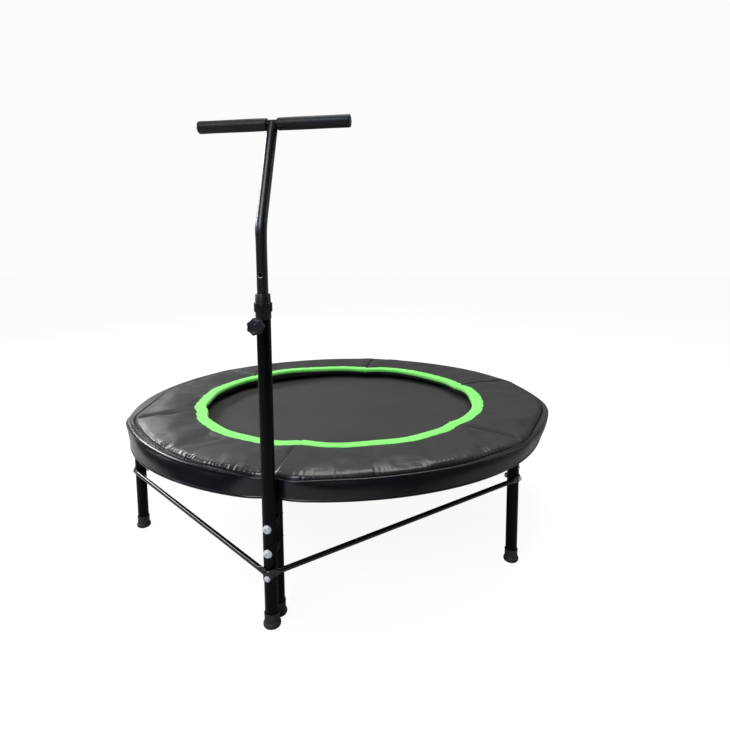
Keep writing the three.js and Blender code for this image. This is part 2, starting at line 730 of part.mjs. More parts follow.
function matHem() {
  const half = HEM_THICKNESS / 2;
  const band = pipe(HEM_OUTER_R, HEM_INNER_R + GAP, MAT_Z - half, MAT_Z + half, ROUND_STEPS);
  const cutter = bar(EYELET_HOLE_R, MAT_Z - half - OVERCUT, MAT_Z + half + OVERCUT, EYELET_SIDES);
  const hole = cutter.translate([EYELET_R, 0, 0]);
  const holes = Array.from({ length: LACINGS }, (_, i) => hole.rotate([0, 0, lacingAngle(i) / DEG]));
  return band.subtract(union(holes));
}

// The cord comes up through an eyelet, runs over the ring tube, round its outside, and back under it
function elasticCord() {
  const rings = [];
  for (let i = 0; i < LACINGS; i += 1) {
    const here = lacingAngle(i);
    const over = here + 0.5 * (TURN / LACINGS);
    const stops = [
      { r: EYELET_R, z: MAT_Z - CORD_DIP, angle: here },
      { r: EYELET_R, z: MAT_Z + CORD_DIP, angle: here },
      ...CORD_WRAP.map((degrees) => ({
        r: RING_R + CORD_WRAP_R * Math.cos(degrees * DEG),
        z: RING_Z + CORD_WRAP_R * Math.sin(degrees * DEG),
        angle: over,
      })),
    ];
    rings.push(...stops.map(({ r, z, angle }) => ({ at: polar(r, angle, z), angle })));
  }
  const count = rings.length;
  const sections = rings.map(({ at, angle }, i) => {
    const before = rings[(i + count - 1) % count].at;
    const after = rings[(i + 1) % count].at;
    const along = after.clone().sub(before).normalize();
    const sideways = new THREE.Vector3(-Math.sin(angle), Math.cos(angle), 0);
    const normal = new THREE.Vector3().crossVectors(sideways, along).normalize();
    const flat = new THREE.Vector3().crossVectors(along, normal).normalize();
    return circle(at, normal, flat, CORD_R, CORD_SIDES);
  });
  return loopOfRings(sections);
}

function addMat(group) {
  group.add(
    named('jump_mat', jumpMat(), WOVEN),
    named('mat_hem', matHem(), WEBBING),
    named('elastic_cord', elasticCord(), WEBBING),
  );
}

// ---------------------------------------------------------------- cover

// Outer radius of the skirt: round, and pressed in where the handle post stands
function skirtRadius(angle) {
  const away = SKIRT_R * angleBetween(FRONT_ANGLE, angle);
  return SKIRT_R - DENT * Math.exp(-((away / DENT_WIDTH) ** 2));
}

// One padded part of the cover, from one leg to the next
function padPart() {
  const half = LEG_PITCH / 2;
  const trim = (r) => SEAM_GAP / 2 / r;
  const shape = new THREE.Shape();
  shape.absarc(0, 0, PAD_OUTER_R, -half + trim(PAD_OUTER_R), half - trim(PAD_OUTER_R), false);
  shape.absarc(0, 0, PAD_INNER_R, half - trim(PAD_INNER_R), -half + trim(PAD_INNER_R), true);
  const depth = PAD_TOP_Z - PAD_BOTTOM_Z;
  const part = new THREE.ExtrudeGeometry(shape, { depth, bevelEnabled: false, curveSegments: 12 });
  return solid(part.translate(0, 0, PAD_BOTTOM_Z));
}

// The binding wraps the pad's inner edge: a lip above, a lip below, and a wall between them
function binding() {
  const lip = BINDING_THICKNESS;
  const top = PAD_TOP_Z + GAP;
  const bottom = PAD_BOTTOM_Z - GAP;
  const wall = PAD_INNER_R - 2;
  const section = [
    [BINDING_INNER_R, bottom - lip], [BINDING_OUTER_R, bottom - lip],
    [BINDING_OUTER_R, bottom], [wall, bottom],
    [wall, top], [BINDING_OUTER_R, top],
    [BINDING_OUTER_R, top + lip], [BINDING_INNER_R, top + lip],
  ];
  return bandAround(() => section, ROUND_STEPS);
}

function skirt() {
  const wall = SKIRT_THICKNESS;
  const top = SKIRT_TOP_Z;
  const shoulder = top - SKIRT_SHOULDER;
  return bandAround((angle) => {
    const r = skirtRadius(angle);
    return [
      [r - wall, SKIRT_BOTTOM_Z], [r, SKIRT_BOTTOM_Z], [r, shoulder], [r - SKIRT_SHOULDER / 2, top],
      [FLANGE_INNER_R, top], [FLANGE_INNER_R, top - wall], [r - wall - 1, shoulder],
    ];
  }, COVER_STEPS);
}

// Elastic inside the skirt's lower edge
function hemElastic() {
  return bandAround((angle) => {
    const outer = skirtRadius(angle) - SKIRT_THICKNESS - 2 * GAP;
    const inner = outer - 2 * ELASTIC_R;
    return [[inner, ELASTIC_Z - ELASTIC_R], [outer, ELASTIC_Z], [inner, ELASTIC_Z + ELASTIC_R]];
  }, COVER_STEPS);
}

function addCover(group) {
  const part = padPart();
  PAD_NAMES.forEach((name, i) => {
    const mesh = named(`pad_${name}`, part, VINYL);
    mesh.rotation.z = stationAngle(i) + LEG_PITCH / 2;
    group.add(mesh);
  });
  group.add(
    named('pad_binding', binding(), GREEN),
    named('pad_skirt', skirt(), VINYL),
    named('skirt_elastic', hemElastic(), WEBBING),
  );
}

// ---------------------------------------------------------------- assembly

function trampoline() {
  const group = new THREE.Group();
  group.add(named('frame_ring', frameRing(), STEEL_BLACK));
  addLegs(group);
  addPost(group);
  addBraces(group);
  addHandle(group);
  addMat(group);
  addCover(group);
  return group;
}

const model = trampoline();
model.updateMatrixWorld(true);
const footprint = new THREE.Box3().setFromObject(model, true).getCenter(new THREE.Vector3());
model.position.set(-footprint.x, -footprint.y, 0);

export default model;
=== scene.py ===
import math

import bmesh
import bpy
import numpy as np
from mathutils import Matrix, Vector


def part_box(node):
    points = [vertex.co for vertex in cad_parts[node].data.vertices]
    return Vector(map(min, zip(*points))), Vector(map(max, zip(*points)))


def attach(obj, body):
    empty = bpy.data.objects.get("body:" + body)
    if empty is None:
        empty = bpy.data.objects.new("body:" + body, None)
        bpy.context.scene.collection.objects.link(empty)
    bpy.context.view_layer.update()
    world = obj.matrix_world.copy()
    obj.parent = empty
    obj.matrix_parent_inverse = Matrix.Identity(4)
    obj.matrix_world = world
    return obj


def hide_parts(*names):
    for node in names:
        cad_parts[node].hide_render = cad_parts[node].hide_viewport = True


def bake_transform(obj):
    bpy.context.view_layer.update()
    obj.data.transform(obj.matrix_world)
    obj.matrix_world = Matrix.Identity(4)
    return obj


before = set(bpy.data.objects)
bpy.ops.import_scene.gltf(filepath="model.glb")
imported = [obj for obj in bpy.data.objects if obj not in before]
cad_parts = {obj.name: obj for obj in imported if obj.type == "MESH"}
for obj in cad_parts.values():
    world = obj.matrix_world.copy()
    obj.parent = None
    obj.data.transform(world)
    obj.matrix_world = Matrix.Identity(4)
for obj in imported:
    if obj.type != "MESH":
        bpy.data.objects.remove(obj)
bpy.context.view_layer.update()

# A mini trampoline with a T-bar handle. Lengths are in metres; MM turns millimetres into metres.
# Angles round the trampoline are counter-clockwise from +X, and the handle stands at -90 degrees.
MM = 0.001
TURN = 2 * math.pi
RNG = np.random.default_rng(7)

# ---- places taken from the frame


def middle(node):
    low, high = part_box(node)
    return (low + high) / 2


def width(node, axis=0):
    low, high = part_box(node)
    return high[axis] - low[axis]


def bottom(node):
    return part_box(node)[0].z


def top(node):
    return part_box(node)[1].z


LEG_NAMES = ["front", "front_right", "back_right", "back", "back_left", "front_left"]
PAD_NAMES = ["front_right", "right", "back_right", "back_left", "left", "front_left"]
FRONT = -math.pi / 2
LEG_PITCH = TURN / len(LEG_NAMES)
TUBE_R = width("handle_post") / 2
WALL = 1.5 * MM
CENTRE = Vector((middle("frame_ring").x, middle("frame_ring").y, 0))
RING_R = width("frame_ring") / 2 - TUBE_R
RING_Z = top("frame_ring") - TUBE_R
STUB_BOTTOM = bottom("frame_ring")
POST_R = CENTRE.y - middle("handle_post").y
POST_TOP = top("handle_post")
LEG_TOP = top("leg_front")
TUBE_BOTTOM = bottom("leg_front")
FOOT_HEIGHT = top("foot_front")
LOWER_HOLE = middle("post_bolt_lower").z
UPPER_HOLE = middle("post_bolt_upper").z
BRACE_POST_Z = middle("brace_bolt_post").z
SCREW_Z = middle("leg_screw_front").z
PIN_Z = middle("lock_screw").z
HANDLE_R = width("handle_tube") / 2
HANDLE_BOTTOM = bottom("handle_tube")
TBAR_Z = middle("t_bar").z
TBAR_R = width("t_bar", 2) / 2
TBAR_HALF = width("t_bar") / 2
MAT_Z = middle("jump_mat").z
HEM_OUTER_R = width("mat_hem") / 2
PAD_TOP = top("pad_right")
PAD_BOTTOM = bottom("pad_right")
SKIRT_BOTTOM = bottom("pad_skirt")

AT_CENTRE = Matrix.Translation(CENTRE)
CROSS_HOLE_R = 4.4 * MM
PAST_TUBE = TUBE_R + 3 * MM


def leg_angle(i):
    return FRONT + i * LEG_PITCH


def station(i, r=0.0, z=0.0):
    """A frame with +X pointing outwards through leg i, r out from the ring's axis, at height z."""
    out = AT_CENTRE @ Matrix.Rotation(leg_angle(i), 4, "Z")
    return out @ Matrix.Translation((r, 0, z))


AT_POST = station(0, POST_R)


def lifted(z):
    return Matrix.Translation((0, 0, z))


# ---- skins: vertices and faces


def loft(rings, looped=False):
    """A skin through equal rings of points, closed end to end or capped."""
    rings = [np.asarray(r, float) for r in rings]
    size, count = len(rings[0]), len(rings)
    j = np.arange(size)
    k = (j + 1) % size
    faces = []
    for i in range(count if looped else count - 1):
        a, b = i * size, ((i + 1) % count) * size
        faces += np.stack([a + j, b + j, b + k, a + k], 1).tolist()
    if not looped:
        faces.append(list(range(size - 1, -1, -1)))
        faces.append(list(range((count - 1) * size, count * size)))
    return np.concatenate(rings), faces


def lathe(profile, sides=48, axis="Z"):
    """A closed [radius, height] profile turned about Z, or about X with height along X."""
    r, h = np.array(profile, float).T
    rings = []
    for a in np.arange(sides) * TURN / sides:
        columns = [r * math.cos(a), r * math.sin(a), h]
        if axis == "X":
            columns = [h, r * math.cos(a), r * math.sin(a)]
        rings.append(np.stack(columns, 1))
    return loft(rings, looped=True)


def rod(radius, start, end, sides=48, axis="Z"):
    return lathe([(0, start), (radius, start), (radius, end), (0, end)], sides, axis)


def rounded(points, radius, steps=5):
    """A closed outline with its marked corners rounded: each point is (r, z, share of radius)."""
    out = []
    for i, (x, y, share) in enumerate(points):
        here = np.array([x, y])
        if share == 0:
            out.append(here)
            continue
        before = np.array(points[i - 1][:2]) - here
        after = np.array(points[(i + 1) % len(points)][:2]) - here
        a = here + before / np.linalg.norm(before) * radius * share
        b = here + after / np.linalg.norm(after) * radius * share
        for t in np.linspace(0, 1, steps):
            out.append((1 - t) ** 2 * a + 2 * t * (1 - t) * here + t * t * b)
    return [tuple(p) for p in out]


def tube(outer, low, high, sides):
    """An upright length of tube with slightly broken edges."""
    inner = outer - WALL
    corners = [(inner, low, 1), (outer, low, 1), (outer, high, 1), (inner, high, 1)]
    return lathe(rounded(corners, 0.4 * MM, 3), sides)


def block(at, half):
    """A box, from its middle and half its size along each axis."""
    corners = np.array([(x, y, z) for x in (-1, 1) for y in (-1, 1) for z in (-1, 1)]) * np.array(half)
    faces = [(0, 1, 3, 2), (4, 6, 7, 5), (0, 4, 5, 1), (2, 3, 7, 6), (0, 2, 6, 4), (1, 5, 7, 3)]
    return corners + np.array(at), faces


def circle(radius, sides):
    a = np.arange(sides) * TURN / sides
    return np.stack([radius * np.cos(a), radius * np.sin(a)], 1)


def sweep(points, section, up):
    """Rings of a section of (up, side) offsets, or one section per point, carried along a path."""
    points = np.asarray(points, float)
    along = np.gradient(points, axis=0)
    along /= np.linalg.norm(along, axis=1, keepdims=True)
    side = np.cross(np.broadcast_to(np.asarray(up, float), points.shape), along)
    side /= np.linalg.norm(side, axis=1, keepdims=True)
    normal = np.cross(along, side)
    sections = section if np.ndim(section) == 3 else [section] * len(points)
    rings = []
    for p, n, s, shape in zip(points, normal, side, np.asarray(sections)):
        rings.append(p + np.outer(shape[:, 0], n) + np.outer(shape[:, 1], s))
    return rings


def catmull_rom(a, b, c, d, t):
    """The curve from b to c, with neighbours a and d, at a share t of the way."""
    bend = 2 * a - 5 * b + 4 * c - d
    twist = 3 * b - a - 3 * c + d
    return 0.5 * (2 * b + (c - a) * t + bend * t**2 + twist * t**3)


def smooth_path(points, steps):
    """A Catmull-Rom curve through points."""
    p = np.asarray(points, float)
    p = np.concatenate([[2 * p[0] - p[1]], p, [2 * p[-1] - p[-2]]])
    t = np.linspace(0, 1, steps, endpoint=False)[:, None]
    out = [catmull_rom(*near, t) for near in zip(p[:-3], p[1:-2], p[2:-1], p[3:])]
    return np.concatenate(out + [p[-2:-1]])


def bead_round_hole(tube_r, around, sides, bead):
    """A ring of metal round a cross hole in a tube.

    bead(a) is its thickness, its distance from the hole's axis and how far it stands out of the tube."""
    rings = []
    for a in np.arange(around) * TURN / around:
        thick, away, proud = bead(a)
        out = np.array([0, math.cos(a), math.sin(a)])
        at = away * out
        at[0] = math.sqrt(tube_r**2 - at[1] ** 2) + proud
        section = circle(thick, sides)
        rings.append(at + np.outer(section[:, 0], out) + np.outer(section[:, 1], (1, 0, 0)))
    return loft(rings, looped=True)


# ---- objects


def mesh_object(name, skin, material=None, sharp=40):
    verts, faces = skin
    mesh = bpy.data.meshes.new(name)
    mesh.from_pydata([tuple(v) for v in verts], [], [tuple(f) for f in faces])
    finish_mesh(mesh, sharp)
    mesh.materials.append(material)
    obj = bpy.data.objects.new(name, mesh)
    bpy.context.scene.collection.objects.link(obj)
    return obj


def finish_mesh(mesh, sharp):
    """Faces outwards, smooth, with edges over `sharp` degrees left sharp."""
    bm = bmesh.new()
    bm.from_mesh(mesh)
    bmesh.ops.remove_doubles(bm, verts=bm.verts, dist=1e-6)
    bmesh.ops.recalc_face_normals(bm, faces=bm.faces)
    bm.to_mesh(mesh)
    bm.free()
    mesh.polygons.foreach_set("use_smooth", [True] * len(mesh.polygons))
    mesh.set_sharp_from_angle(angle=math.radians(sharp))


def cutter(skin, place=Matrix()):
    obj = mesh_object("cutter", skin)
    obj.matrix_world = place
    return obj


def bore(radius, start, end, place=Matrix()):
    """A cutter along the local X axis, for a cross hole."""
    return cutter(rod(radius, start, end, 24, "X"), place)


def cut(obj, cutters):
    """Takes the cutters' solids out of obj, and deletes the cutters."""
    for tool in cutters:
        modifier = obj.modifiers.new("cut", "BOOLEAN")
        modifier.object = tool
        modifier.operation = "DIFFERENCE"
        modifier.solver = "EXACT"
    bpy.context.view_layer.update()
    evaluated = obj.evaluated_get(bpy.context.evaluated_depsgraph_get())
    mesh = bpy.data.meshes.new_from_object(evaluated)
    obj.modifiers.clear()
    material = obj.data.materials[0]
    obj.data = mesh
    mesh.materials.clear()
    mesh.materials.append(material)
    finish_mesh(mesh, 35)
    for tool in cutters:
        bpy.data.objects.remove(tool)


def build(name, skin, finish, place=AT_CENTRE, node=None, cutters=(), body="frame", bevel=None, sharp=40):
    """One piece of the visual, standing for a CAD node and riding on a body.

    The cutters are in the piece's own frame, and a bevel is (width, segments)."""
    material, slot = finish
    obj = mesh_object(name, skin, material, sharp)
    if bevel:
        modifier = obj.modifiers.new("bevel", "BEVEL")
        modifier.width, modifier.segments = bevel
        modifier.limit_method = "ANGLE"
    if cutters:
        cut(obj, cutters)
    obj.matrix_world = place
    if body:
        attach(obj, body)
    if node:
        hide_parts(node)
    return obj


# ---- materials


class Shader:
    """A material being built: a Principled surface with short helpers for its node tree."""

    def __init__(self, name, color, roughness, metallic=0.0):
        self.material = bpy.data.materials.new(name)
        self.material.use_nodes = True
        self.tree = self.material.node_tree
        self.surface = self.tree.nodes["Principled BSDF"]
        self.set(self.surface, "Base Color", (*color, 1))
        self.set(self.surface, "Roughness", roughness)
        self.set(self.surface, "Metallic", metallic)
        self.where = self.tree.nodes.new("ShaderNodeTexCoord").outputs["Object"]

    def set(self, node, name, value):
        """Sets an input to a value, or links it to another node's output."""
        if isinstance(value, bpy.types.NodeSocket):
            self.tree.links.new(value, node.inputs[name])
        else:
            node.inputs[name].default_value = value

    def add(self, kind, output=0, **inputs):
        node = self.tree.nodes.new(kind)
        for name, value in inputs.items():
            self.set(node, name.replace("_", " "), value)
        return node.outputs[output]

    def noise(self, scale, detail=3.0):
        return self.add("ShaderNodeTexNoise", "Fac", Vector=self.where, Scale=scale, Detail=detail)

    def cells(self, scale):
        return self.add("ShaderNodeTexVoronoi", "Distance", Vector=self.where, Scale=scale)

    def axes(self):
        """X, Y and Z of the place being shaded."""
        return self.add("ShaderNodeSeparateXYZ", Vector=self.where).node.outputs

    def math(self, operation, *values):
        node = self.tree.nodes.new("ShaderNodeMath")
        node.operation = operation
        for i, value in enumerate(values):
            self.set(node, i, value)
        return node.outputs[0]

    def between(self, factor, low, high, start=0.0, end=1.0):
        """low to high as factor goes from start to end."""
        return self.add(
            "ShaderNodeMapRange", Value=factor, From_Min=start, From_Max=end, To_Min=low, To_Max=high
        )

    def mix(self, factor, a, b):
        """Colour a to colour b."""
        node = self.tree.nodes.new("ShaderNodeMix")
        node.data_type = "RGBA"
        self.set(node, 0, factor)
        node.inputs[6].default_value = (*a, 1)
        node.inputs[7].default_value = (*b, 1)
        return node.outputs[2]

    def mix_shaders(self, factor, a, b):
        node = self.tree.nodes.new("ShaderNodeMixShader")
        for i, value in enumerate((factor, a, b)):
            self.set(node, i, value)
        return node.outputs[0]

    def weave(self, pitch):
        """Height of a plain weave of the given thread pitch, over X and Y."""
        x, y, _ = self.axes()
        rate = math.pi / pitch
        across = self.math("SINE", self.math("MULTIPLY", x, rate))
        along = self.math("SINE", self.math("MULTIPLY", y, rate))
        return self.between(self.math("MULTIPLY", across, along), 0.0, 1.0, -1.0, 1.0)

    def color(self, value):
        self.set(self.surface, "Base Color", value)

    def roughness(self, value):
        self.set(self.surface, "Roughness", value)

    def shine(self, value):
        """How strongly the surface reflects: 0.5 is usual for plastic and paint."""
        self.set(self.surface, "Specular IOR Level", value)

    def bump(self, *heights):
        """Each height is (socket, depth in millimetres); depths add up."""
        normal = None
        for height, depth in heights:
            node = self.tree.nodes.new("ShaderNodeBump")
            self.set(node, "Height", height)
            self.set(node, "Distance", depth * MM)
            if normal is not None:
                self.set(node, "Normal", normal)
            normal = node.outputs[0]
        self.set(self.surface, "Normal", normal)

    def sheen(self, weight, tint):
        self.set(self.surface, "Sheen Weight", weight)
        self.set(self.surface, "Sheen Roughness", 0.5)
        self.set(self.surface, "Sheen Tint", (*tint, 1))

    def coat(self, weight, roughness):
        self.set(self.surface, "Coat Weight", weight)
        self.set(self.surface, "Coat Roughness", roughness)


def uneven(name, dark, pale, tone, smooth, rough, wear, metallic=0.0):
    """A surface whose colour wanders with the noise `tone` and whose roughness with the noise `wear`."""
    s = Shader(name, dark, rough, metallic)
    s.color(s.mix(s.noise(*tone), dark, pale))
    s.roughness(s.between(s.noise(*wear), smooth, rough, 0.3, 0.7))
    return s


def black_paint(name, smooth, rough, shine, coat):
    """Black paint with a fine orange peel and a few dull, scuffed areas."""
    s = uneven(name, (0.0014, 0.0016, 0.002), (0.003, 0.0032, 0.0038), (14, 4), smooth, rough, (14, 4))
    s.bump((s.noise(900, 2), 0.03), (s.noise(260, 1), 0.04))
    s.shine(shine)
    s.coat(coat, 0.1)
    return s.material


def zinc_plate():
    """Bright zinc with faint blue and yellow tones and fine turning marks."""
    s = uneven("zinc_plate", (0.82, 0.84, 0.88), (0.93, 0.93, 0.91), (180, 2), 0.3, 0.48, (420, 3), 0.15)
    s.bump((s.noise(1500, 2), 0.03))
    return s.material


def dark_eyelet():
    s = Shader("dark_eyelet", (0.05, 0.05, 0.052), 0.4, 1.0)
    s.roughness(s.between(s.noise(300, 3), 0.3, 0.5, 0.3, 0.7))
    return s.material


def moulded_rubber():
    s = uneven("moulded_rubber", (0.016, 0.016, 0.017), (0.042, 0.041, 0.040), (60, 5), 0.45, 0.7, (60, 5))
    s.bump((s.noise(1100, 3), 0.12))
    return s.material


def moulded_plastic():
    """Satin moulded plastic with a spark-eroded grain."""
    dark, pale = (0.006, 0.0065, 0.0085), (0.012, 0.0127, 0.016)
    s = uneven("moulded_plastic", dark, pale, (90, 3), 0.32, 0.46, (300, 3))
    s.bump((s.noise(1600, 3), 0.04))
    s.shine(0.42)
    return s.material


def closed_cell_foam():
    dark, pale = (0.0028, 0.0034, 0.0044), (0.0056, 0.0066, 0.0082)
    s = uneven("closed_cell_foam", dark, pale, (220, 4), 0.46, 0.52, (160, 3))
    s.bump((s.cells(1500), 0.03), (s.noise(300, 3), 0.02))
    s.shine(0.36)
    s.sheen(0.03, (0.6, 0.7, 0.85))
    return s.material


def polished_edge(s):
    """1 on the strip of vinyl that is pulled tight and rubbed bright, at the outer seam on the -X side."""
    x, y, _ = s.axes()
    radius = s.math("SQRT", s.math("ADD", s.math("MULTIPLY", x, x), s.math("MULTIPLY", y, y)))
    outer = s.between(radius, 0.0, 1.0, 0.495, 0.507)
    side = s.math("MULTIPLY", s.between(x, 1.0, 0.4, -0.08, 0.1), s.between(y, 1.0, 0.0, -0.38, -0.26))
    return s.math("MULTIPLY", outer, side)


def coated_vinyl(name, dark, pale, dull, polish, coat):
    """Black vinyl with a leather grain, soft creases and a slight gloss."""
    s = Shader(name, dark, dull)
    cloudy = s.noise(9, 4)
    bright = s.math("MULTIPLY", polished_edge(s), polish)
    worn = s.between(cloudy, dull - 0.05, dull + 0.06, 0.3, 0.7)
    s.color(s.mix(cloudy, dark, pale))
    s.roughness(s.math("SUBTRACT", worn, s.math("MULTIPLY", bright, 0.22)))
    s.shine(0.4)
    s.bump((s.noise(55, 3), 0.35), (s.cells(900), 0.05), (s.noise(1800, 2), 0.03))
    s.coat(s.math("ADD", s.math("MULTIPLY", bright, 0.5), coat), 0.14)
    return s.material


def binding_tape():
    """Bright green woven tape, a little uneven."""
    s = Shader("binding_tape", (0.21, 0.93, 0.14), 0.75)
    s.color(s.mix(s.noise(120, 4), (0.17, 0.84, 0.10), (0.26, 0.98, 0.18)))
    s.bump((s.weave(1.1 * MM), 0.18), (s.noise(70, 2), 0.4))
    s.sheen(0.3, (0.8, 1.0, 0.7))
    return s.material


def woven_mat():
    """Matt woven strip cloth: a tight grid of flat threads, a little uneven."""
    s = Shader("woven_mat", (0.023, 0.0225, 0.021), 0.85)
    threads = s.weave(2.2 * MM)
    worn = s.noise(5, 5)
    tone = s.math("ADD", s.math("MULTIPLY", threads, 0.5), s.math("MULTIPLY", worn, 0.5))
    s.color(s.mix(tone, (0.016, 0.0155, 0.0145), (0.031, 0.030, 0.028)))
    s.roughness(s.between(worn, 0.72, 0.92, 0.3, 0.7))
    s.bump((threads, 0.25), (s.noise(30, 2), 0.3))
    return s.material


def black_webbing():
    s = Shader("black_webbing", (0.013, 0.013, 0.014), 0.85)
    threads = s.weave(1.4 * MM)
    s.color(s.mix(threads, (0.008, 0.008, 0.009), (0.022, 0.022, 0.024)))
    s.bump((threads, 0.3))
    s.sheen(0.3, (0.6, 0.6, 0.65))
    return s.material


def sewing_thread(name, color):
    s = Shader(name, color, 0.6)
    s.bump((s.noise(2500, 1), 0.1))
    return s.material


def pad_vinyl():
    return coated_vinyl("pad_vinyl", (0.013, 0.013, 0.0125), (0.022, 0.0218, 0.021), 0.54, 1.3, 0.02)


def skirt_vinyl():
    return coated_vinyl("skirt_vinyl", (0.0035, 0.0046, 0.007), (0.006, 0.0078, 0.0112), 0.34, 0.55, 0.04)


# Each finish is a material and the slot of the frame's table that it belongs to.
STEEL = (black_paint("powder_coat", 0.26, 0.36, 0.11, 0.0), "black_steel")
ROD_PAINT = (black_paint("gloss_paint", 0.13, 0.22, 0.4, 0.45), "black_steel")
TUBE_PAINT = (black_paint("satin_paint", 0.3, 0.4, 0.6, 0.12), "black_steel")
ZINC = (zinc_plate(), "zinc")
DARK_METAL = (dark_eyelet(), "zinc")
RUBBER = (moulded_rubber(), "black_rubber")
PLASTIC = (moulded_plastic(), "black_plastic")
FOAM = (closed_cell_foam(), "grip_foam")
PAD_VINYL = (pad_vinyl(), "padded_vinyl")
SKIRT_VINYL = (skirt_vinyl(), "skirt_vinyl")
TAPE = (binding_tape(), "green_binding")
MAT = (woven_mat(), "mat_weave")
WEBBING = (black_webbing(), "black_webbing")
BLACK_THREAD = (sewing_thread("black_thread", (0.02, 0.02, 0.022)), "black_webbing")
GREEN_THREAD = (sewing_thread("green_thread", (0.12, 0.62, 0.07)), "green_binding")


# ---- frame, legs and feet


def build_ring():
    """The ring tube, and under it six welded stubs with a weld bead round each."""
    ring = lathe(circle(TUBE_R, 28) + (RING_R, RING_Z), 240)
    build("ring_tube", ring, STEEL, node="frame_ring")
    outer = TUBE_R - WALL - 0.4 * MM
    inner = outer - WALL
    top = RING_Z - 0.72 * TUBE_R
    stub = lathe(rounded([
        (inner, STUB_BOTTOM, 1), (outer, STUB_BOTTOM, 1), (outer, LEG_TOP + 1 * MM, 0),
        (outer + 2.2 * MM, LEG_TOP + 3 * MM, 1), (outer, top, 0), (inner, top, 0),
    ], 0.5 * MM, 3), 32)
    for i, name in enumerate(LEG_NAMES):
        build(f"leg_stub_{name}", stub, STEEL, station(i, RING_R))


def build_legs():
    for i, name in enumerate(LEG_NAMES):
        holes = [bore(CROSS_HOLE_R, -PAST_TUBE, PAST_TUBE, lifted(z)) for z in (LOWER_HOLE, UPPER_HOLE)]
        leg = tube(TUBE_R, TUBE_BOTTOM, LEG_TOP, 48)
        build(f"leg_tube_{name}", leg, STEEL, station(i, RING_R), f"leg_{name}", holes)
        build_leg_screw(i, name)
        build_foot(f"rubber_foot_{name}", station(i, RING_R), f"foot_{name}")
    build_foot("rubber_foot_post", station(0, POST_R), "foot_handle_post")


def build_leg_screw(i, name):
    """A small pan head with a cross recess."""
    shank_r, head_r = 1.9 * MM, 3.4 * MM
    inner_end = 6 * MM
    seat = TUBE_R + 0.1 * MM
    rim = seat + 0.9 * MM
    dome = 1.2 * MM
    profile = [(0, inner_end), (shank_r, inner_end), (shank_r, seat), (head_r, seat), (head_r, rim)]
    profile += [(head_r * math.cos(t), rim + dome * math.sin(t)) for t in np.linspace(0.2, 1.4, 6)]
    profile.append((0, rim + dome))
    narrow, long, deep = 0.45 * MM, 1.9 * MM, 1.4 * MM
    at = (rim + dome + 0.1 * MM, 0, 0)
    slots = [cutter(block(at, (deep, *size))) for size in ((narrow, long), (long, narrow))]
    place = station(i, RING_R, SCREW_Z)
    skin = lathe(profile, 24, "X")
    build(f"leg_screw_head_{name}", skin, ZINC, place, f"leg_screw_{name}", slots)


def build_foot(name, place, node):
    """A rubber foot: a sleeve flush with the tube, a rolled flare and a rounded sole."""
    neck, flare, sole = 13.9 * MM, 16.5 * MM, 12.8 * MM
    bore_r = TUBE_R + 0.15 * MM
    floor = TUBE_BOTTOM - 0.3 * MM
    outline = [
        (0, 0.6 * MM, 0), (sole - 4 * MM, 0.6 * MM, 0), (sole - 3 * MM, 0, 0), (sole, 0, 1.0),
        (flare - 0.3 * MM, 3.0 * MM, 1.2), (flare, 9.6 * MM, 1.3), (neck - 0.2 * MM, 11.4 * MM, 0.8),
        (neck - 0.1 * MM, 16 * MM, 0.3), (neck, 24 * MM, 0.3), (neck + 0.4 * MM, FOOT_HEIGHT - 1.5 * MM, 0.4),
        (neck + 0.2 * MM, FOOT_HEIGHT, 0.3), (bore_r, FOOT_HEIGHT, 0.3), (bore_r, floor, 0), (0, floor, 0),
    ]
    build(name, lathe(rounded(outline, 2.2 * MM, 6), 56), RUBBER, place, node)


# ---- post, bolts and saddles


def build_post():
    holes = [bore(CROSS_HOLE_R, -PAST_TUBE, PAST_TUBE, lifted(z)) for z in (LOWER_HOLE, UPPER_HOLE)]
    holes.append(bore(3.4 * MM, -PAST_TUBE, PAST_TUBE, lifted(BRACE_POST_Z)))
    holes.append(bore(CROSS_HOLE_R, 0, PAST_TUBE, lifted(PIN_Z)))
    post = tube(TUBE_R, TUBE_BOTTOM, POST_TOP, 64)
    build("post_tube", post, STEEL, AT_POST, "handle_post", holes)
    shank_r = 4 * MM
    leg_face = RING_R - TUBE_R
    for name, z in (("lower", LOWER_HOLE), ("upper", UPPER_HOLE)):
        build_saddle(name, z)
        place = station(0, 0, z)
        ends = (leg_face - 8.5 * MM, POST_R + TUBE_R)
        build_bolt(f"post_bolt_head_{name}", place, ends, 7.6 * MM, shank_r, f"post_bolt_{name}")
        build_nut(f"post_nut_hex_{name}", place, leg_face, 6.5 * MM, shank_r, f"post_nut_{name}")


def build_saddle(name, z):
    """A moulded block, hollowed to the two tubes that it sits between."""
    half = 10 * MM
    brick = block(((RING_R + POST_R) / 2, 0, 0), ((POST_R - RING_R) / 2, half, half))
    hollow = rod(TUBE_R + 0.1 * MM, -2 * half, 2 * half)
    hollows = [cutter(hollow, Matrix.Translation((r, 0, 0))) for r in (RING_R, POST_R)]
    place = station(0, 0, z)
    build(f"saddle_block_{name}", brick, PLASTIC, place, f"saddle_{name}", hollows, bevel=(1.2 * MM, 3))


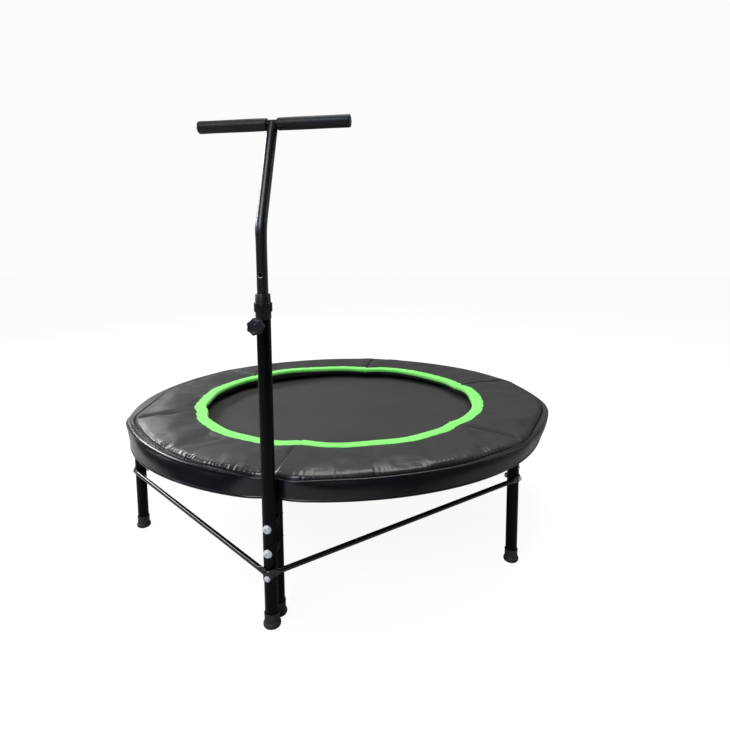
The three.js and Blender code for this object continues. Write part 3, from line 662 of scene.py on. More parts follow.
def build_bolt(name, place, ends, head_r, shank_r, node):
    """A domed bolt through the tubes: washer, button head with a hexagon socket, shank."""
    inner, outer = ends
    washer = 1.4 * MM
    dome = 0.55 * head_r
    base = outer + washer
    start = outer + 0.2 * MM
    profile = [(0, inner), (shank_r - 0.5 * MM, inner), (shank_r, inner + 0.5 * MM), (shank_r, start)]
    profile += [(head_r + 0.5 * MM, start), (head_r + 0.6 * MM, start + 0.5 * washer)]
    profile.append((head_r + 0.3 * MM, base))
    curve = np.linspace(0.08, math.pi / 2, 12)[:-1]
    profile += [(head_r * 0.96 * math.cos(t), base + dome * math.sin(t)) for t in curve]
    profile.append((0, base + dome))
    socket = cutter(rod(0.42 * head_r, base + 0.3 * dome, base + 2 * dome, 6, "X"))
    build(name, lathe(profile, 48, "X"), ZINC, place, node, [socket])


def build_nut(name, place, face, flat_r, shank_r, node):
    """A hexagon nut with broken edges, against a face."""
    corner = flat_r / math.cos(math.pi / 6)
    end = face - 0.2 * MM
    start = end - flat_r
    hexagon = [(shank_r, end), (corner, end), (corner, start), (shank_r, start)]
    build(name, lathe(hexagon, 6, "X"), ZINC, place, node, bevel=(0.5 * MM, 2))


# ---- brace rods


def build_brace(name, i, leg_z, layer):
    """A rod whose flattened ends wrap the outer sides of the post and of leg i."""
    side = 1 if i == 1 else -1
    tab = 2.5 * MM
    post_axis = Vector((*polar(POST_R, leg_angle(0)), BRACE_POST_Z))
    leg_axis = Vector((*polar(RING_R, leg_angle(i)), leg_z))
    level = (leg_axis - post_axis).to_2d().normalized()
    outward = Vector((side * level.y, -side * level.x, 0))
    post_r = TUBE_R + 0.2 * MM + tab * (layer + 0.5)
    leg_r = TUBE_R + 0.2 * MM + 0.5 * tab
    turn = math.atan2(outward.y, outward.x)
    past = math.radians(30)
    post_arc = arc_points(post_axis, post_r, leg_angle(0) - side * past, turn, (2.5 * MM, 7 * MM))
    leg_arc = arc_points(leg_axis, leg_r, turn, leg_angle(i) + side * past, (0, 0))
    start = post_arc[-1]
    reach = leg_arc[0] - start
    path = np.array([*post_arc[:-1], *[start + reach * t for t in fine_ends(reach.length)], *leg_arc[1:]])
    distance = np.concatenate([[0], np.cumsum(np.linalg.norm(np.diff(path, axis=0), axis=1))])
    lead = [distance[len(post_arc) - 1], distance[-1] - distance[-len(leg_arc)]]
    sections = [brace_section(flatness(d, distance[-1], lead)) for d in distance]
    places = [station(0, POST_R, BRACE_POST_Z), station(i, RING_R, leg_z)]
    holes = [bore(3.3 * MM, TUBE_R - 2 * MM, TUBE_R + 9 * MM, place) for place in places]
    skin = loft(sweep(path, np.array(sections), (0, 0, 1)))
    build(f"brace_{name}", skin, ROD_PAINT, Matrix(), f"brace_rod_{name}", holes)


def polar(r, angle):
    return CENTRE.x + r * math.cos(angle), CENTRE.y + r * math.sin(angle)


def arc_points(axis, r, start, end, rise):
    """Points round a vertical tube, the short way from one angle to the other.

    rise is the height of the first point above the axis point, and how much higher the last one is."""
    span = math.remainder(end - start, TURN)
    points = []
    for t in np.linspace(0, 1, 16):
        a = start + span * t
        points.append(axis + Vector((r * math.cos(a), r * math.sin(a), rise[0] + rise[1] * t * t)))
    return points


def fine_ends(length):
    """Shares along a straight rod, close together near its two ends."""
    near = np.linspace(0, 40 * MM / length, 12)
    return np.concatenate([near, np.linspace(near[-1], 1 - near[-1], 12)[1:-1], 1 - near[::-1]])


def flatness(distance, total, lead):
    """1 on the flattened ends, 0 on the round rod, for a point this far along the path."""
    into_rod = min(distance - lead[0], total - distance - lead[1])
    t = min(max((into_rod - 2 * MM) / (14 * MM), 0), 1)
    return 1 - t * t * (3 - 2 * t)


def brace_section(flat):
    """A section between a round rod and a flat tab with rounded edges, as (up, side) offsets."""
    unit = circle(1.0, 24)
    squared = np.sign(unit) * np.abs(unit) ** (1 - 0.35 * flat)
    return squared * ((5 + 3 * flat) * MM, (5 - 3.75 * flat) * MM)


def build_braces():
    tab_and_gap = 2.7 * MM
    build_brace("right", 1, UPPER_HOLE, 1)
    build_brace("left", 5, LOWER_HOLE, 0)
    bolts = [("right", 1, RING_R, UPPER_HOLE, 1), ("left", 5, RING_R, LOWER_HOLE, 1)]
    bolts.append(("post", 0, POST_R, BRACE_POST_Z, 2))
    for name, i, r, z, tabs in bolts:
        place = station(i, 0, z)
        ends = (r - TUBE_R - 6.5 * MM, r + TUBE_R + tabs * tab_and_gap)
        build_bolt(f"brace_bolt_head_{name}", place, ends, 4.9 * MM, 3 * MM, f"brace_bolt_{name}")
        build_nut(f"brace_nut_hex_{name}", place, r - TUBE_R, 5 * MM, 3 * MM, f"brace_nut_{name}")


# ---- upper handle

BEND_Z = 723.6 * MM
HEIGHT_HOLES = [PIN_Z + k * 42 * MM for k in range(-3, 3)]
HEIGHT_HOLE_R = 4 * MM


def handle_points():
    """Centreline of the bent upper tube in the station frame, from bottom to top."""
    lean = math.radians(21)
    tangent = 10 * MM
    radius = tangent / math.tan(lean / 2)
    start = BEND_Z - tangent
    points = [(0, HANDLE_BOTTOM), (0, 0.5 * (HANDLE_BOTTOM + BEND_Z))]
    points += [(0, start - d * MM) for d in (32, 24, 16, 8, 0)]
    for t in np.linspace(0, lean, 12)[1:]:
        points.append((-radius * (1 - math.cos(t)), start + radius * math.sin(t)))
    last_x, last_z = points[-1]
    points += [(last_x - d * MM * math.sin(lean), last_z + d * MM * math.cos(lean)) for d in (8, 16, 24, 32)]
    points.append((-(TBAR_Z - BEND_Z) * math.tan(lean), TBAR_Z))
    return [(x, 0, z) for x, z in points]


def build_handle():
    """The bent tube, a little flattened at the bend, saddled to the T-bar and drilled for the lock screw."""
    path = handle_points()
    widths = [1 + 0.07 * bell(p[2] - BEND_Z, 16 * MM) for p in path]
    walls = []
    for radius in (HANDLE_R, HANDLE_R - 1.4 * MM):
        walls.append(sweep(path, [circle(radius, 48) * (w, 1) for w in widths], (0, 1, 0)))
    crosswise = Matrix.Translation(path[-1]) @ Matrix.Rotation(math.pi / 2, 4, "X")
    cutters = [bore(HEIGHT_HOLE_R, 0, 2 * HANDLE_R, lifted(z)) for z in HEIGHT_HOLES]
    cutters.append(cutter(rod(TBAR_R + 0.1 * MM, -30 * MM, 30 * MM), crosswise))
    skin = loft(walls[0] + walls[1][::-1], looped=True)
    build("upper_tube", skin, TUBE_PAINT, AT_POST, "handle_tube", cutters, "handle")
    build_tbar(station(0, POST_R) @ crosswise)
    # Bright zinc crescents on the lower lips of the height holes: bare metal drawn only where light catches
    # the edge, a painted highlight.
    rim = bead_round_hole(HANDLE_R, 32, 8, painted_highlight_rim)
    for k, z in enumerate(HEIGHT_HOLES):
        build(f"painted_hole_highlight_{k}", rim, ZINC, station(0, POST_R, z), body="handle")


def painted_highlight_rim(a):
    """Bare metal on the lower half of a height hole's edge only: the real cut edge, kept just where light
    catches it, as a painted highlight.
    """
    thick = (0.06 + 0.5 * max(-math.sin(a), 0) ** 1.5) * MM
    return thick, HEIGHT_HOLE_R + thick, 0.15 * MM - thick


def build_tbar(place):
    build("t_bar_tube", tube(TBAR_R, -TBAR_HALF, TBAR_HALF, 48), STEEL, place, "t_bar", body="handle")
    grip_r = 11.3 * MM
    start, end = 9.9 * MM, 141 * MM
    bore_r, bore_end = TBAR_R + 0.1 * MM, TBAR_HALF + 0.5 * MM
    outline = [
        (bore_r, start, 0), (grip_r - 0.3 * MM, start, 1), (grip_r, start + 30 * MM, 0),
        (grip_r - 0.2 * MM, end - 30 * MM, 0), (grip_r, end, 1.7), (0, end, 0), (0, bore_end, 0),
        (bore_r, bore_end, 0),
    ]
    verts, faces = lathe(rounded(outline, 1.8 * MM, 6), 56)
    for name, flip in (("left", 1), ("right", -1)):
        skin = (verts * (1, 1, flip), faces)
        build(f"foam_grip_{name}", skin, FOAM, place, f"grip_{name}", body="handle")


# ---- collar, bush, boss, screw and knob


def build_collar():
    """Twist collar: a ribbed ring below a smooth, slightly tapered top."""
    low, high = bottom("lock_collar"), top("lock_collar")
    rib_top = low + 15.9 * MM
    ribs, per_rib = 22, 12
    chamfer = 0.9 * MM
    inside_and_top = [
        (14.4 * MM, rib_top), (13.5 * MM, rib_top + 0.3 * MM), (13.3 * MM, rib_top + 1.2 * MM),
        (12.75 * MM, high - 1.2 * MM), (12.3 * MM, high - 0.3 * MM), (11.6 * MM, high), (10.3 * MM, high),
        (10.0 * MM, high - 0.5 * MM), (10.0 * MM, high - 6 * MM), (11.9 * MM, high - 8 * MM),
        (13.4 * MM, POST_TOP + 3 * MM), (13.9 * MM, POST_TOP), (13.9 * MM, low),
        (15.0 * MM - chamfer, low),
    ]
    rings = []
    for a in np.arange(ribs * per_rib) * TURN / (ribs * per_rib):
        wave = 0.5 - 0.5 * math.cos(ribs * a)
        r = 15.6 * MM - 1.3 * MM * min(max(1.6 * (wave - 0.3), 0), 1)
        ribbed = [
            (r - 0.25 * chamfer, low + 0.3 * chamfer), (r, low + chamfer),
            (r, rib_top - chamfer), (r - 0.3 * chamfer, rib_top - 0.3 * chamfer),
        ]
        rings.append([(p[0] * math.cos(a), p[0] * math.sin(a), p[1]) for p in ribbed + inside_and_top])
    build("twist_collar", loft(rings, looped=True), PLASTIC, AT_POST, "lock_collar", body="collar")


def build_bush():
    """The collet's bush: a lining inside the post, and a thin sleeve down its outside."""
    low, high = bottom("post_bush"), top("post_bush")
    inner, lining = HANDLE_R + 0.2 * MM, TUBE_R - WALL - 0.1 * MM
    sleeve = TUBE_R + 0.1 * MM
    collet = HANDLE_R + 1.6 * MM
    skirt = sleeve + 0.9 * MM
    skirt_low = POST_TOP - 15.5 * MM
    seat = POST_TOP + 0.2 * MM
    outline = [
        (inner, low, 0), (lining, low, 0), (lining, seat, 0), (sleeve, seat, 0),
        (sleeve, skirt_low, 0.3), (skirt, skirt_low, 0.5), (skirt, POST_TOP + 1.4 * MM, 0.5),
        (collet, POST_TOP + 3 * MM, 0), (collet, high, 0.5), (inner, high, 0.5),
    ]
    skin = lathe(rounded(outline, 1.0 * MM, 4), 56)
    build("collet_bush", skin, PLASTIC, AT_POST, "post_bush")


BOSS_R = 7.5 * MM
WELD_SIZE = 1.6 * MM


def build_lock():
    """The threaded boss on the post with its weld, the lock screw and the knob."""
    place = station(0, POST_R, PIN_Z)
    bore_r, base, end = 4.3 * MM, TUBE_R - 3 * MM, 21 * MM
    corners = [(bore_r, base, 0), (BOSS_R, base, 0), (BOSS_R, end, 0.6), (bore_r, end, 0.3)]
    post = cutter(rod(TUBE_R + 0.05 * MM, -30 * MM, 30 * MM, 64))
    build("threaded_boss", lathe(rounded(corners, 1.2 * MM, 4), 40, "X"), STEEL, place, "lock_boss", [post])
    build("boss_weld", bead_round_hole(TUBE_R, 64, 10, weld_bead), STEEL, place)
    build("threaded_rod", threaded_rod(), ZINC, place, "lock_screw", body="lock_screw")
    build("lobed_knob", lobed_knob(), PLASTIC, place, "lock_knob", body="knob")


def weld_bead(a):
    return WELD_SIZE * (0.55 + 0.08 * math.sin(17 * a)), BOSS_R + 0.3 * WELD_SIZE, 0.25 * WELD_SIZE


def ring_about_x(x, radius):
    a = np.arange(len(radius)) * TURN / len(radius)
    return np.stack([np.full(len(radius), x), radius * np.cos(a), radius * np.sin(a)], 1)


def threaded_rod():
    """A threaded rod with a plain, rounded tip."""
    pitch, depth, r = 1.25 * MM, 0.6 * MM, 3.9 * MM
    tip, thread, end = 10.4 * MM, 12.5 * MM, 35 * MM
    sides, per_pitch = 32, 8
    rings = []
    for x in np.arange(tip, end, pitch / per_pitch):
        phase = (x / pitch - np.arange(sides) / sides) % 1
        radius = r - depth * np.abs(2 * phase - 1)
        if x < thread:
            radius = np.full(sides, 3.4 * MM - 0.8 * MM * (1 - (x - tip) / (thread - tip)) ** 2)
        rings.append(ring_about_x(x, radius))
    return loft(rings)


def lobed_knob():
    """A seven-lobed knob with a rounded rim, a shallow dish and a centre cap."""
    lobes, sides = 7, 7 * 18
    neck, r = 7 * MM, 15 * MM
    start, body, face = 27.5 * MM, 31 * MM, 42 * MM
    # Each row is a place along the axis in millimetres, a share of r, and how deep the lobes go.
    collar = [(0, neck / r - 0.02, 0), (0.4, neck / r, 0)]
    rim = [(-1, neck / r, 0), (-0.4, neck / r + 0.05, 0.1), (0, 0.72, 0.6)]
    rim += [(0.3, 0.9, 0.9), (1.2, 0.975, 1), (2.4, 1.0, 1)]
    front = [
        (-3, 1.0, 1), (-1.6, 0.975, 1), (-0.6, 0.91, 0.95), (-0.1, 0.8, 0.8), (-0.05, 0.7, 0.5),
        (-0.8, 0.62, 0.2), (-1.3, 0.52, 0), (-1.2, 0.4, 0), (-0.6, 0.36, 0), (-0.3, 0.2, 0), (-0.2, 0.03, 0),
    ]
    lobe = 0.5 * (1 - np.cos(lobes * np.arange(sides) * TURN / sides))
    rings = [ring_about_x(x, np.full(sides, 0.6 * neck)) for x in (face - 6 * MM, start)]
    for origin, rows in ((start, collar), (body, rim), (face, front)):
        for x, share, wave in rows:
            rings.append(ring_about_x(origin + x * MM, r * share - 1.9 * MM * wave * lobe**0.8))
    return loft(rings)


# ---- cover outline


def wrap(angle):
    """An angle as a value from -pi to pi."""
    return (np.asarray(angle) + math.pi) % TURN - math.pi


def bell(x, spread, power=2):
    """1 where x is 0, falling away on both sides over `spread`."""
    return np.exp(-(np.abs(x / spread) ** power))


def hump(angle, degrees, spread, power=2):
    """1 at a direction in degrees, falling away on both sides over `spread` radians."""
    return bell(wrap(angle - math.radians(degrees)), spread, power)


def from_seam(angle):
    """Angle from the nearest radial seam."""
    return wrap((angle - FRONT) * len(LEG_NAMES)) / len(LEG_NAMES)


def near_seams(angle, spread):
    """1 at each radial seam, falling away over `spread` radians."""
    return bell(from_seam(angle), spread)


def waves(angle, seed, orders, fall=1.0):
    """A smooth random function round the circle, roughly -1 to 1."""
    rng = np.random.default_rng(seed)
    angle = np.asarray(angle, float)
    total, power = np.zeros_like(angle), 0.0
    for n in orders:
        size = n**-fall * rng.uniform(0.6, 1.0)
        total = total + size * np.sin(n * angle + rng.uniform(0, TURN))
        power += size**2
    return total / math.sqrt(2 * power) * 0.8


def press(angle):
    """How far the handle post presses the cover in."""
    along_hem = 545 * MM * wrap(angle - FRONT)
    return bell(along_hem, 30 * MM)


def pulled(angle):
    """The cover sits a little towards +X: 1 on that side and -1 on the other."""
    return np.cos(angle + math.radians(12))


def flare(angle):
    """On the +X side the skirt stands out in a blunt corner."""
    return hump(angle, 3, 0.17)


def in_front(angle):
    """1 along the front of the cover, 0 on its other sides."""
    return hump(angle, 268, 0.85, 4)


def curled(angle):
    """1 where the pad's inner edge at the back left has curled up."""
    return hump(angle, 133, 0.27)


def seam_radius(angle):
    """The gathered seam between the top sheets and the skirt."""
    r = 514 + 9 * pulled(angle) + 14 * near_seams(angle, 0.15) + 2 * waves(angle, 3, range(5, 23), 0.5)
    return (r + 13 * flare(angle)) * MM - 12 * MM * press(angle)


def side_radius(angle):
    """The crisp edge where the shoulder turns down into the side of the skirt."""
    r = 540 + 2 * pulled(angle) + 5 * near_seams(angle, 0.07) + 1.2 * waves(angle, 8, range(3, 13))
    usual = (r + 9 * flare(angle)) * MM - 8 * MM * press(angle)
    narrow = seam_radius(angle) + 14 * MM
    return usual + (narrow - usual) * in_front(angle)


def hem_radius(angle):
    r = 541 + 1.5 * pulled(angle) + 1.5 * waves(angle, 9, range(2, 11))
    r = r - 23 * hump(angle, 191, 0.4) - 10 * hump(angle, -12, 0.3)
    return r * MM - 7.5 * MM * press(angle)


def binding_inner(angle):
    r = 357 - 8 * near_seams(angle, 0.09) + 4.5 * waves(angle, 11, range(4, 19), 0.8)
    return r * MM


def binding_outer(angle):
    return binding_inner(angle) + (29 + 1.5 * waves(angle, 12, range(5, 21), 0.6)) * MM


def binding_top(angle):
    return PAD_TOP + 2 * MM + edge_lift(angle) + 0.35 * seam_step(angle)


def binding_low(angle):
    """The tape pinches the pad's inner edge, so it is thinner than the pad."""
    return binding_top(angle) - 9.5 * MM


def edge_lift(angle):
    """How far the pad's inner edge rises above its usual height."""
    return (1.5 * waves(angle, 13, range(3, 16), 0.7) + 6 * curled(angle)) * MM


def double_fold(angle):
    """At the front right leg the two sheets stand up in a pair of narrow folds."""
    off = wrap(angle - leg_angle(1))
    return sum(bell(off - side * 0.011, 0.005) for side in (-1, 1))


def seam_step(angle):
    """Beside each radial seam one sheet stands proud of its neighbour, with a dip between them."""
    off = from_seam(angle)
    rise = np.where(off >= 0, bell(off, 0.045, 1), 0)
    dip = bell(off, np.where(off < 0, 0.018, 0.005))
    return (2.6 * rise - 3.8 * dip + 2.6 * double_fold(angle) + left_overhang(angle)) * MM


def left_overhang(angle):
    """At the front left leg the step is deeper: an overhanging sheet beside a trough."""
    off = wrap(angle - leg_angle(5))
    overhang = np.where(off < 0, bell(off, 0.09, 1), bell(off, 0.006))
    return 4.5 * overhang - 6 * bell(off - 0.012, 0.014)


# ---- cover: top sheets


COARSE_AROUND, COARSE_ACROSS = 360, 16
FINER_AROUND, FINER_ACROSS = 5, 3
SPARE_CLOTH = 0.052
FOLD_STIFFNESS = 0.5
FOAM_PRESSURE = 0.1
CLOTH_FRAMES = 30
FURTHEST_FOLD = 14 * MM


def sheet_point(angle, across):
    """Rest shape of the top sheets: across runs from 0 at the binding to 1 at the gathered seam."""
    inner = binding_outer(angle) - 6 * MM
    r = inner + (seam_radius(angle) - inner) * across
    crown = 4.5 * MM * np.clip(4 * across * (1 - across), 0, 1) ** 0.55
    rolled = 1 - np.sqrt(1 - np.clip((across - 0.9) / 0.1, 0, 1) ** 2)
    z = PAD_TOP + 0.4 * MM + crown + edge_lift(angle) * (1 - across) ** 2 - 5.5 * MM * rolled
    return r, z


def around(steps):
    return np.arange(steps) * TURN / steps + FRONT


def coarse_grid():
    return np.meshgrid(around(COARSE_AROUND), np.linspace(0, 1, COARSE_ACROSS), indexing="ij")


def simulate_sheets():
    """Displacement of the top sheets after a cloth simulation, as offsets from the rest shape.

    The vinyl is a little longer than the edges it is sewn to, so it buckles into folds over the foam."""
    angle, across = coarse_grid()
    start = band(angle, *sheet_point(angle, across))
    tremble = RNG.normal(0, 0.25 * MM, angle.shape)
    tremble[:, (0, -1)] = 0
    verts = start.copy()
    verts[:, :, 2] += tremble
    cloth = grid_object("sheet_cloth", verts)
    add_weights(cloth, "pin", pin_weights(angle, across))
    add_weights(cloth, "taut", 1 - spare_weights(angle, across))
    run_cloth(cloth)
    shape = np.empty(len(cloth.data.vertices) * 3)
    depsgraph = bpy.context.evaluated_depsgraph_get()
    cloth.evaluated_get(depsgraph).data.vertices.foreach_get("co", shape)
    moved = shape.reshape(start.shape) - start
    bpy.data.objects.remove(cloth)
    bpy.context.scene.frame_set(1)
    length = np.linalg.norm(moved, axis=2, keepdims=True)
    return moved * np.minimum(1, FURTHEST_FOLD / np.maximum(length, 1e-9))


def grid_object(name, grid):
    rows, columns = grid.shape[:2]
    i, j = np.meshgrid(np.arange(rows), np.arange(columns - 1), indexing="ij")
    a, b = i * columns + j, ((i + 1) % rows) * columns + j
    faces = np.stack([a, a + 1, b + 1, b], 2).reshape(-1, 4)
    mesh = bpy.data.meshes.new(name)
    mesh.from_pydata(grid.reshape(-1, 3).tolist(), [], faces.tolist())
    obj = bpy.data.objects.new(name, mesh)
    bpy.context.scene.collection.objects.link(obj)
    return obj


def add_weights(obj, name, weights):
    group = obj.vertex_groups.new(name=name)
    for index, weight in enumerate(weights.ravel()):
        if weight > 0:
            group.add([index], float(min(weight, 1)), "REPLACE")


def pin_weights(angle, across):
    """Sewn edges are fixed, and the radial seams are held down."""
    edges = (across < 0.01) | (across > 0.99)
    return np.maximum(edges * 1.0, near_seams(angle, 0.006))


def spare_weights(angle, across):
    """Where there is more spare cloth: beside the binding and the gathered seam, and on the +X side."""
    edge = bell(across, 0.3) + 0.9 * bell(1 - across, 0.25)
    patchy = 0.65 + 0.35 * waves(angle, 21, range(3, 17), 0.3)
    return np.clip((0.3 + 0.6 * edge) * patchy * (0.8 + 0.2 * pulled(angle)), 0.02, 1)


def run_cloth(obj):
    """The sheet grows by up to SPARE_CLOTH where it isn't taut, while a slight pressure holds it up."""
    modifier = obj.modifiers.new("cloth", "CLOTH")
    settings = modifier.settings
    settings.quality = 5
    settings.mass = 0.3
    settings.tension_stiffness = settings.compression_stiffness = 30
    settings.shear_stiffness = 15
    settings.bending_stiffness = FOLD_STIFFNESS
    settings.air_damping = 3
    settings.vertex_group_mass = "pin"
    settings.vertex_group_shrink = "taut"
    settings.shrink_min = -SPARE_CLOTH
    settings.shrink_max = 0.0
    settings.use_pressure = True
    settings.uniform_pressure_force = FOAM_PRESSURE
    settings.effector_weights.gravity = 0
    modifier.collision_settings.use_collision = False
    modifier.point_cache.frame_end = CLOTH_FRAMES
    for f in range(1, CLOTH_FRAMES + 1):
        bpy.context.scene.frame_set(f)


def calmed(moved):
    """Takes out the jitter between neighbouring points that the simulation leaves."""
    smooth = 0.5 * moved + 0.25 * (np.roll(moved, 1, 0) + np.roll(moved, -1, 0))
    calm = smooth.copy()
    calm[:, 1:-1] = 0.5 * smooth[:, 1:-1] + 0.25 * (smooth[:, :-2] + smooth[:, 2:])
    return calm


def finer(values, factor, axis, looped):
    """Catmull-Rom resampling of a grid along one axis."""
    v = np.moveaxis(values, axis, 0)
    if looped:
        near = [np.roll(v, k, 0) for k in (1, 0, -1, -2)]
    else:
        padded = np.concatenate([2 * v[:1] - v[1:2], v, 2 * v[-1:] - v[-2:-1]])
        near = [padded[k:len(padded) - 3 + k] for k in range(4)]
    out = np.stack([catmull_rom(*near, t) for t in np.arange(factor) / factor], 1)
    out = out.reshape(-1, *v.shape[1:])
    if not looped:
        out = np.concatenate([out, v[-1:]])
    return np.moveaxis(out, 0, axis)


def puckers(angle, depth):
    """Height of the small gathers beside the outer seam, at a distance `depth` from it."""
    rate = 1 + 0.25 * waves(angle, 31, range(2, 12), 0.2)
    phase = 300 * (wrap(angle) + 0.012 * waves(angle, 32, range(7, 60), 0.2))
    ridge = np.abs(np.sin(phase * 0.5)) ** 0.7
    fine = 0.5 + 0.5 * np.sin(1.73 * phase + 2.0 * waves(angle, 33, range(9, 40), 0.1))
    patchy = np.clip(0.55 + 0.6 * waves(angle, 34, range(11, 70), 0.1), 0.05, 1.4)
    reach = (7 + 6 * patchy) * MM
    crowded = 1 + 1.5 * hump(angle, -122, 0.3)
    height = 2.4 * MM * patchy * crowded * rate * (0.75 * ridge + 0.25 * fine - 0.35)
    return height * bell(depth, reach, 1.5)


def top_sheets():
    """Final points of the top sheets on the fine grid, as an array of (around, across, xyz)."""
    moved = simulate_sheets()
    moved = finer(finer(calmed(moved), FINER_AROUND, 0, True), FINER_ACROSS, 1, False)
    share = np.linspace(0, 1, moved.shape[1])
    moved *= np.clip(share / 0.14, 0, 1)[None, :, None] ** 1.5
    angle, across = np.meshgrid(around(len(moved)), share, indexing="ij")
    r, z = sheet_point(angle, across)
    depth = (1 - across) * (seam_radius(angle) - binding_outer(angle))
    step = seam_step(angle) * np.clip(6 * across, 0, 1) * np.clip(9 * (1 - across), 0.4, 1)
    return angle[:, 0], band(angle, r, z + puckers(angle, depth) + step) + moved


def build_pads():
    angle, points = top_sheets()
    per_pad = len(angle) // len(PAD_NAMES)
    for k, name in enumerate(PAD_NAMES):
        index = (np.arange(per_pad + 1) + k * per_pad) % len(angle)
        rings = [np.concatenate([points[i], pad_underside(angle[i], points[i])]) for i in index]
        build(f"pad_sheet_{name}", loft(rings), PAD_VINYL, node=f"pad_{name}", sharp=60)


def pad_underside(angle, top):
    """The rest of a pad's section: down the outer edge, inwards along the bottom, up the inner edge."""
    direction = np.array([math.cos(angle), math.sin(angle)])
    outer = float(top[-1][:2] @ direction)
    inner = float(binding_inner(angle)) + 2.6 * MM
    bottom = PAD_BOTTOM + 0.2 * MM
    droop = 6 * MM
    section = [(outer - 0.4 * MM, bottom + 4 * MM), (outer - 3 * MM, bottom)]
    section += [(outer + (inner - outer) * t, bottom - droop * t * t) for t in (0.25, 0.5, 0.75)]
    section += [(inner + 2 * MM, bottom - droop), (inner, bottom - droop + 2 * MM)]
    section.append((inner, float(binding_low(angle)) + 0.5 * MM))
    return np.array([(*(direction * r), z) for r, z in section])


# ---- cover: binding, skirt, elastic


def band(angle, r, z):
    """Points at each angle, at a radius and height that may change with it."""
    return np.stack([r * np.cos(angle), r * np.sin(angle), z + np.zeros_like(angle)], -1)


def banded(angle, rows):
    """A closed skin round the cover through rows of (r, z)."""
    return loft(np.stack([band(angle, r, z) for r, z in rows], 1), looped=True)


def build_binding():
    """Green tape folded over the pad's inner edge."""
    angle = around(1080)
    inner, outer = binding_inner(angle), binding_outer(angle)
    top, bottom = binding_top(angle), binding_low(angle)
    lap = outer - inner - 4 * MM
    half_tape, fold = 0.6 * MM, 2.0 * MM
    mid, half = 0.5 * (top + bottom), 0.5 * (top - bottom)
    ripple = 0.5 * MM * waves(angle, 41, range(20, 90), 0.2)
    share = np.linspace(1, 0.25, 7)

    def face(extra):
        """One side of the tape, from the outer edge on top round the fold to the outer edge below."""
        rows = [(inner + (outer - inner) * t, top + extra + ripple * t - 0.8 * MM * t**6) for t in share]
        for t in np.linspace(0.15, math.pi - 0.15, 9):
            rows.append((inner + fold - (fold + extra) * math.sin(t), mid + (half + extra) * math.cos(t)))
        return rows + [(inner + lap * t, bottom - extra) for t in share[::-1]]

    skin = banded(angle, face(half_tape) + face(-half_tape)[::-1])
    build("green_binding", skin, TAPE, node="pad_binding", sharp=60)
    from_edge = 3.2 * MM
    droop = 0.8 * MM * (1 - from_edge / (29 * MM)) ** 6
    height = top + half_tape + 0.05 * MM + ripple * 0.9 - droop
    build_stitches("binding_stitches", angle, outer - from_edge, height, 4.2 * MM, GREEN_THREAD)


def build_stitches(name, angle, r, z, pitch, finish, body="frame"):
    """A row of short thread stitches lying along a line round the cover."""
    count = int(np.mean(r) * TURN / pitch)
    middles = np.arange(count) * TURN / count
    radii = np.interp(middles, angle, r, period=TURN)
    heights = np.interp(middles, angle, z, period=TURN)
    half, thick = 0.36 * pitch, 0.38 * MM
    section = circle(1.0, 6)
    verts, faces = [], []
    for m, radius, height in zip(middles, radii, heights):
        rings = []
        for t in np.linspace(-1, 1, 5):
            a = m + t * half / radius
            shape = section * thick * math.sqrt(max(1 - 0.85 * t * t, 0.05))
            out = np.array([math.cos(a), math.sin(a), 0])
            centre = radius * out + (0, 0, height - 0.35 * thick * t * t)
            rings.append(centre + np.outer(shape[:, 0], out) + np.outer(shape[:, 1], (0, 0, 1)))
        stitch_verts, stitch_faces = loft(rings)
        faces += [[i + len(verts) for i in face] for face in stitch_faces]
        verts += stitch_verts.tolist()
    build(name, (verts, faces), finish, body=body)


def skirt_rows(angle):
    """Rows (r, z) of the skirt from the gathered seam over the shoulder and down to the hem."""
    seam, side, hem = seam_radius(angle), side_radius(angle), hem_radius(angle)
    shoulder = seam + 4 * MM
    top = PAD_TOP - 1.0 * MM + 0.8 * MM * waves(angle, 51, range(3, 14))
    low = SKIRT_BOTTOM + (1.5 + 1.5 * waves(angle, 52, range(2, 9))) * MM
    gather = puckers(angle + 0.004, 0)
    belly = (1.5 + 1.5 * waves(angle, 53, range(4, 19), 0.6)) * MM
    edge = (2.6 + 5 * (1 - in_front(angle)) + 4 * hump(angle, 256, 0.1)) * MM
    shelf = top - 0.6 * MM
    valley = 3.4 * MM * in_front(angle) + 0.6 * MM
    rows = [(seam, top - 5 * MM), (seam + 1.6 * MM, shelf - valley - 1 * MM)]
    for t in np.linspace(0, 1, 7):
        dip = valley * (1 - t**1.5) - 0.3 * gather * (1 - t) ** 2
        rows.append((shoulder + (side - edge - shoulder) * t, shelf - dip))
    for turn in np.linspace(0, 1.45, 9)[1:]:
        rows.append((side - edge + edge * math.sin(turn), shelf - edge + edge * math.cos(turn)))
    for t in np.linspace(0, 1, 18)[1:]:
        bulge = belly * math.sin(math.pi * t**0.7)
        rows.append((side + (hem - side) * t + bulge, (shelf - edge) * (1 - t) + (low + 5.5 * MM) * t))
    # The rolled hem, in millimetres out from the hem line and up from the bottom edge.
    roll = [(0.1, 4.8), (-0.35, 4.2), (0.1, 3.6), (0.7, 2.4), (0.6, 1), (0, 0.1), (-1, 0)]
    rows += [(hem + out * MM, low + up * MM) for out, up in roll]
    return rows, low


def build_skirt():
    """The skirt, with elastic cord in its hem."""
    angle = around(1440)
    rows, low = skirt_rows(angle)
    thickness = 1.1 * MM
    inside = [(r - 2 * thickness, np.maximum(z - thickness, low + 0.6 * MM)) for r, z in rows[::3][::-1]]
    build("skirt", banded(angle, rows + inside), SKIRT_VINYL, node="pad_skirt", sharp=60)
    hem = hem_radius(angle) - 5 * MM
    elastic = [(hem + out, low + 3.4 * MM + up) for out, up in circle(1.6 * MM, 10)]
    build("hem_elastic", banded(angle, elastic), WEBBING, node="skirt_elastic")


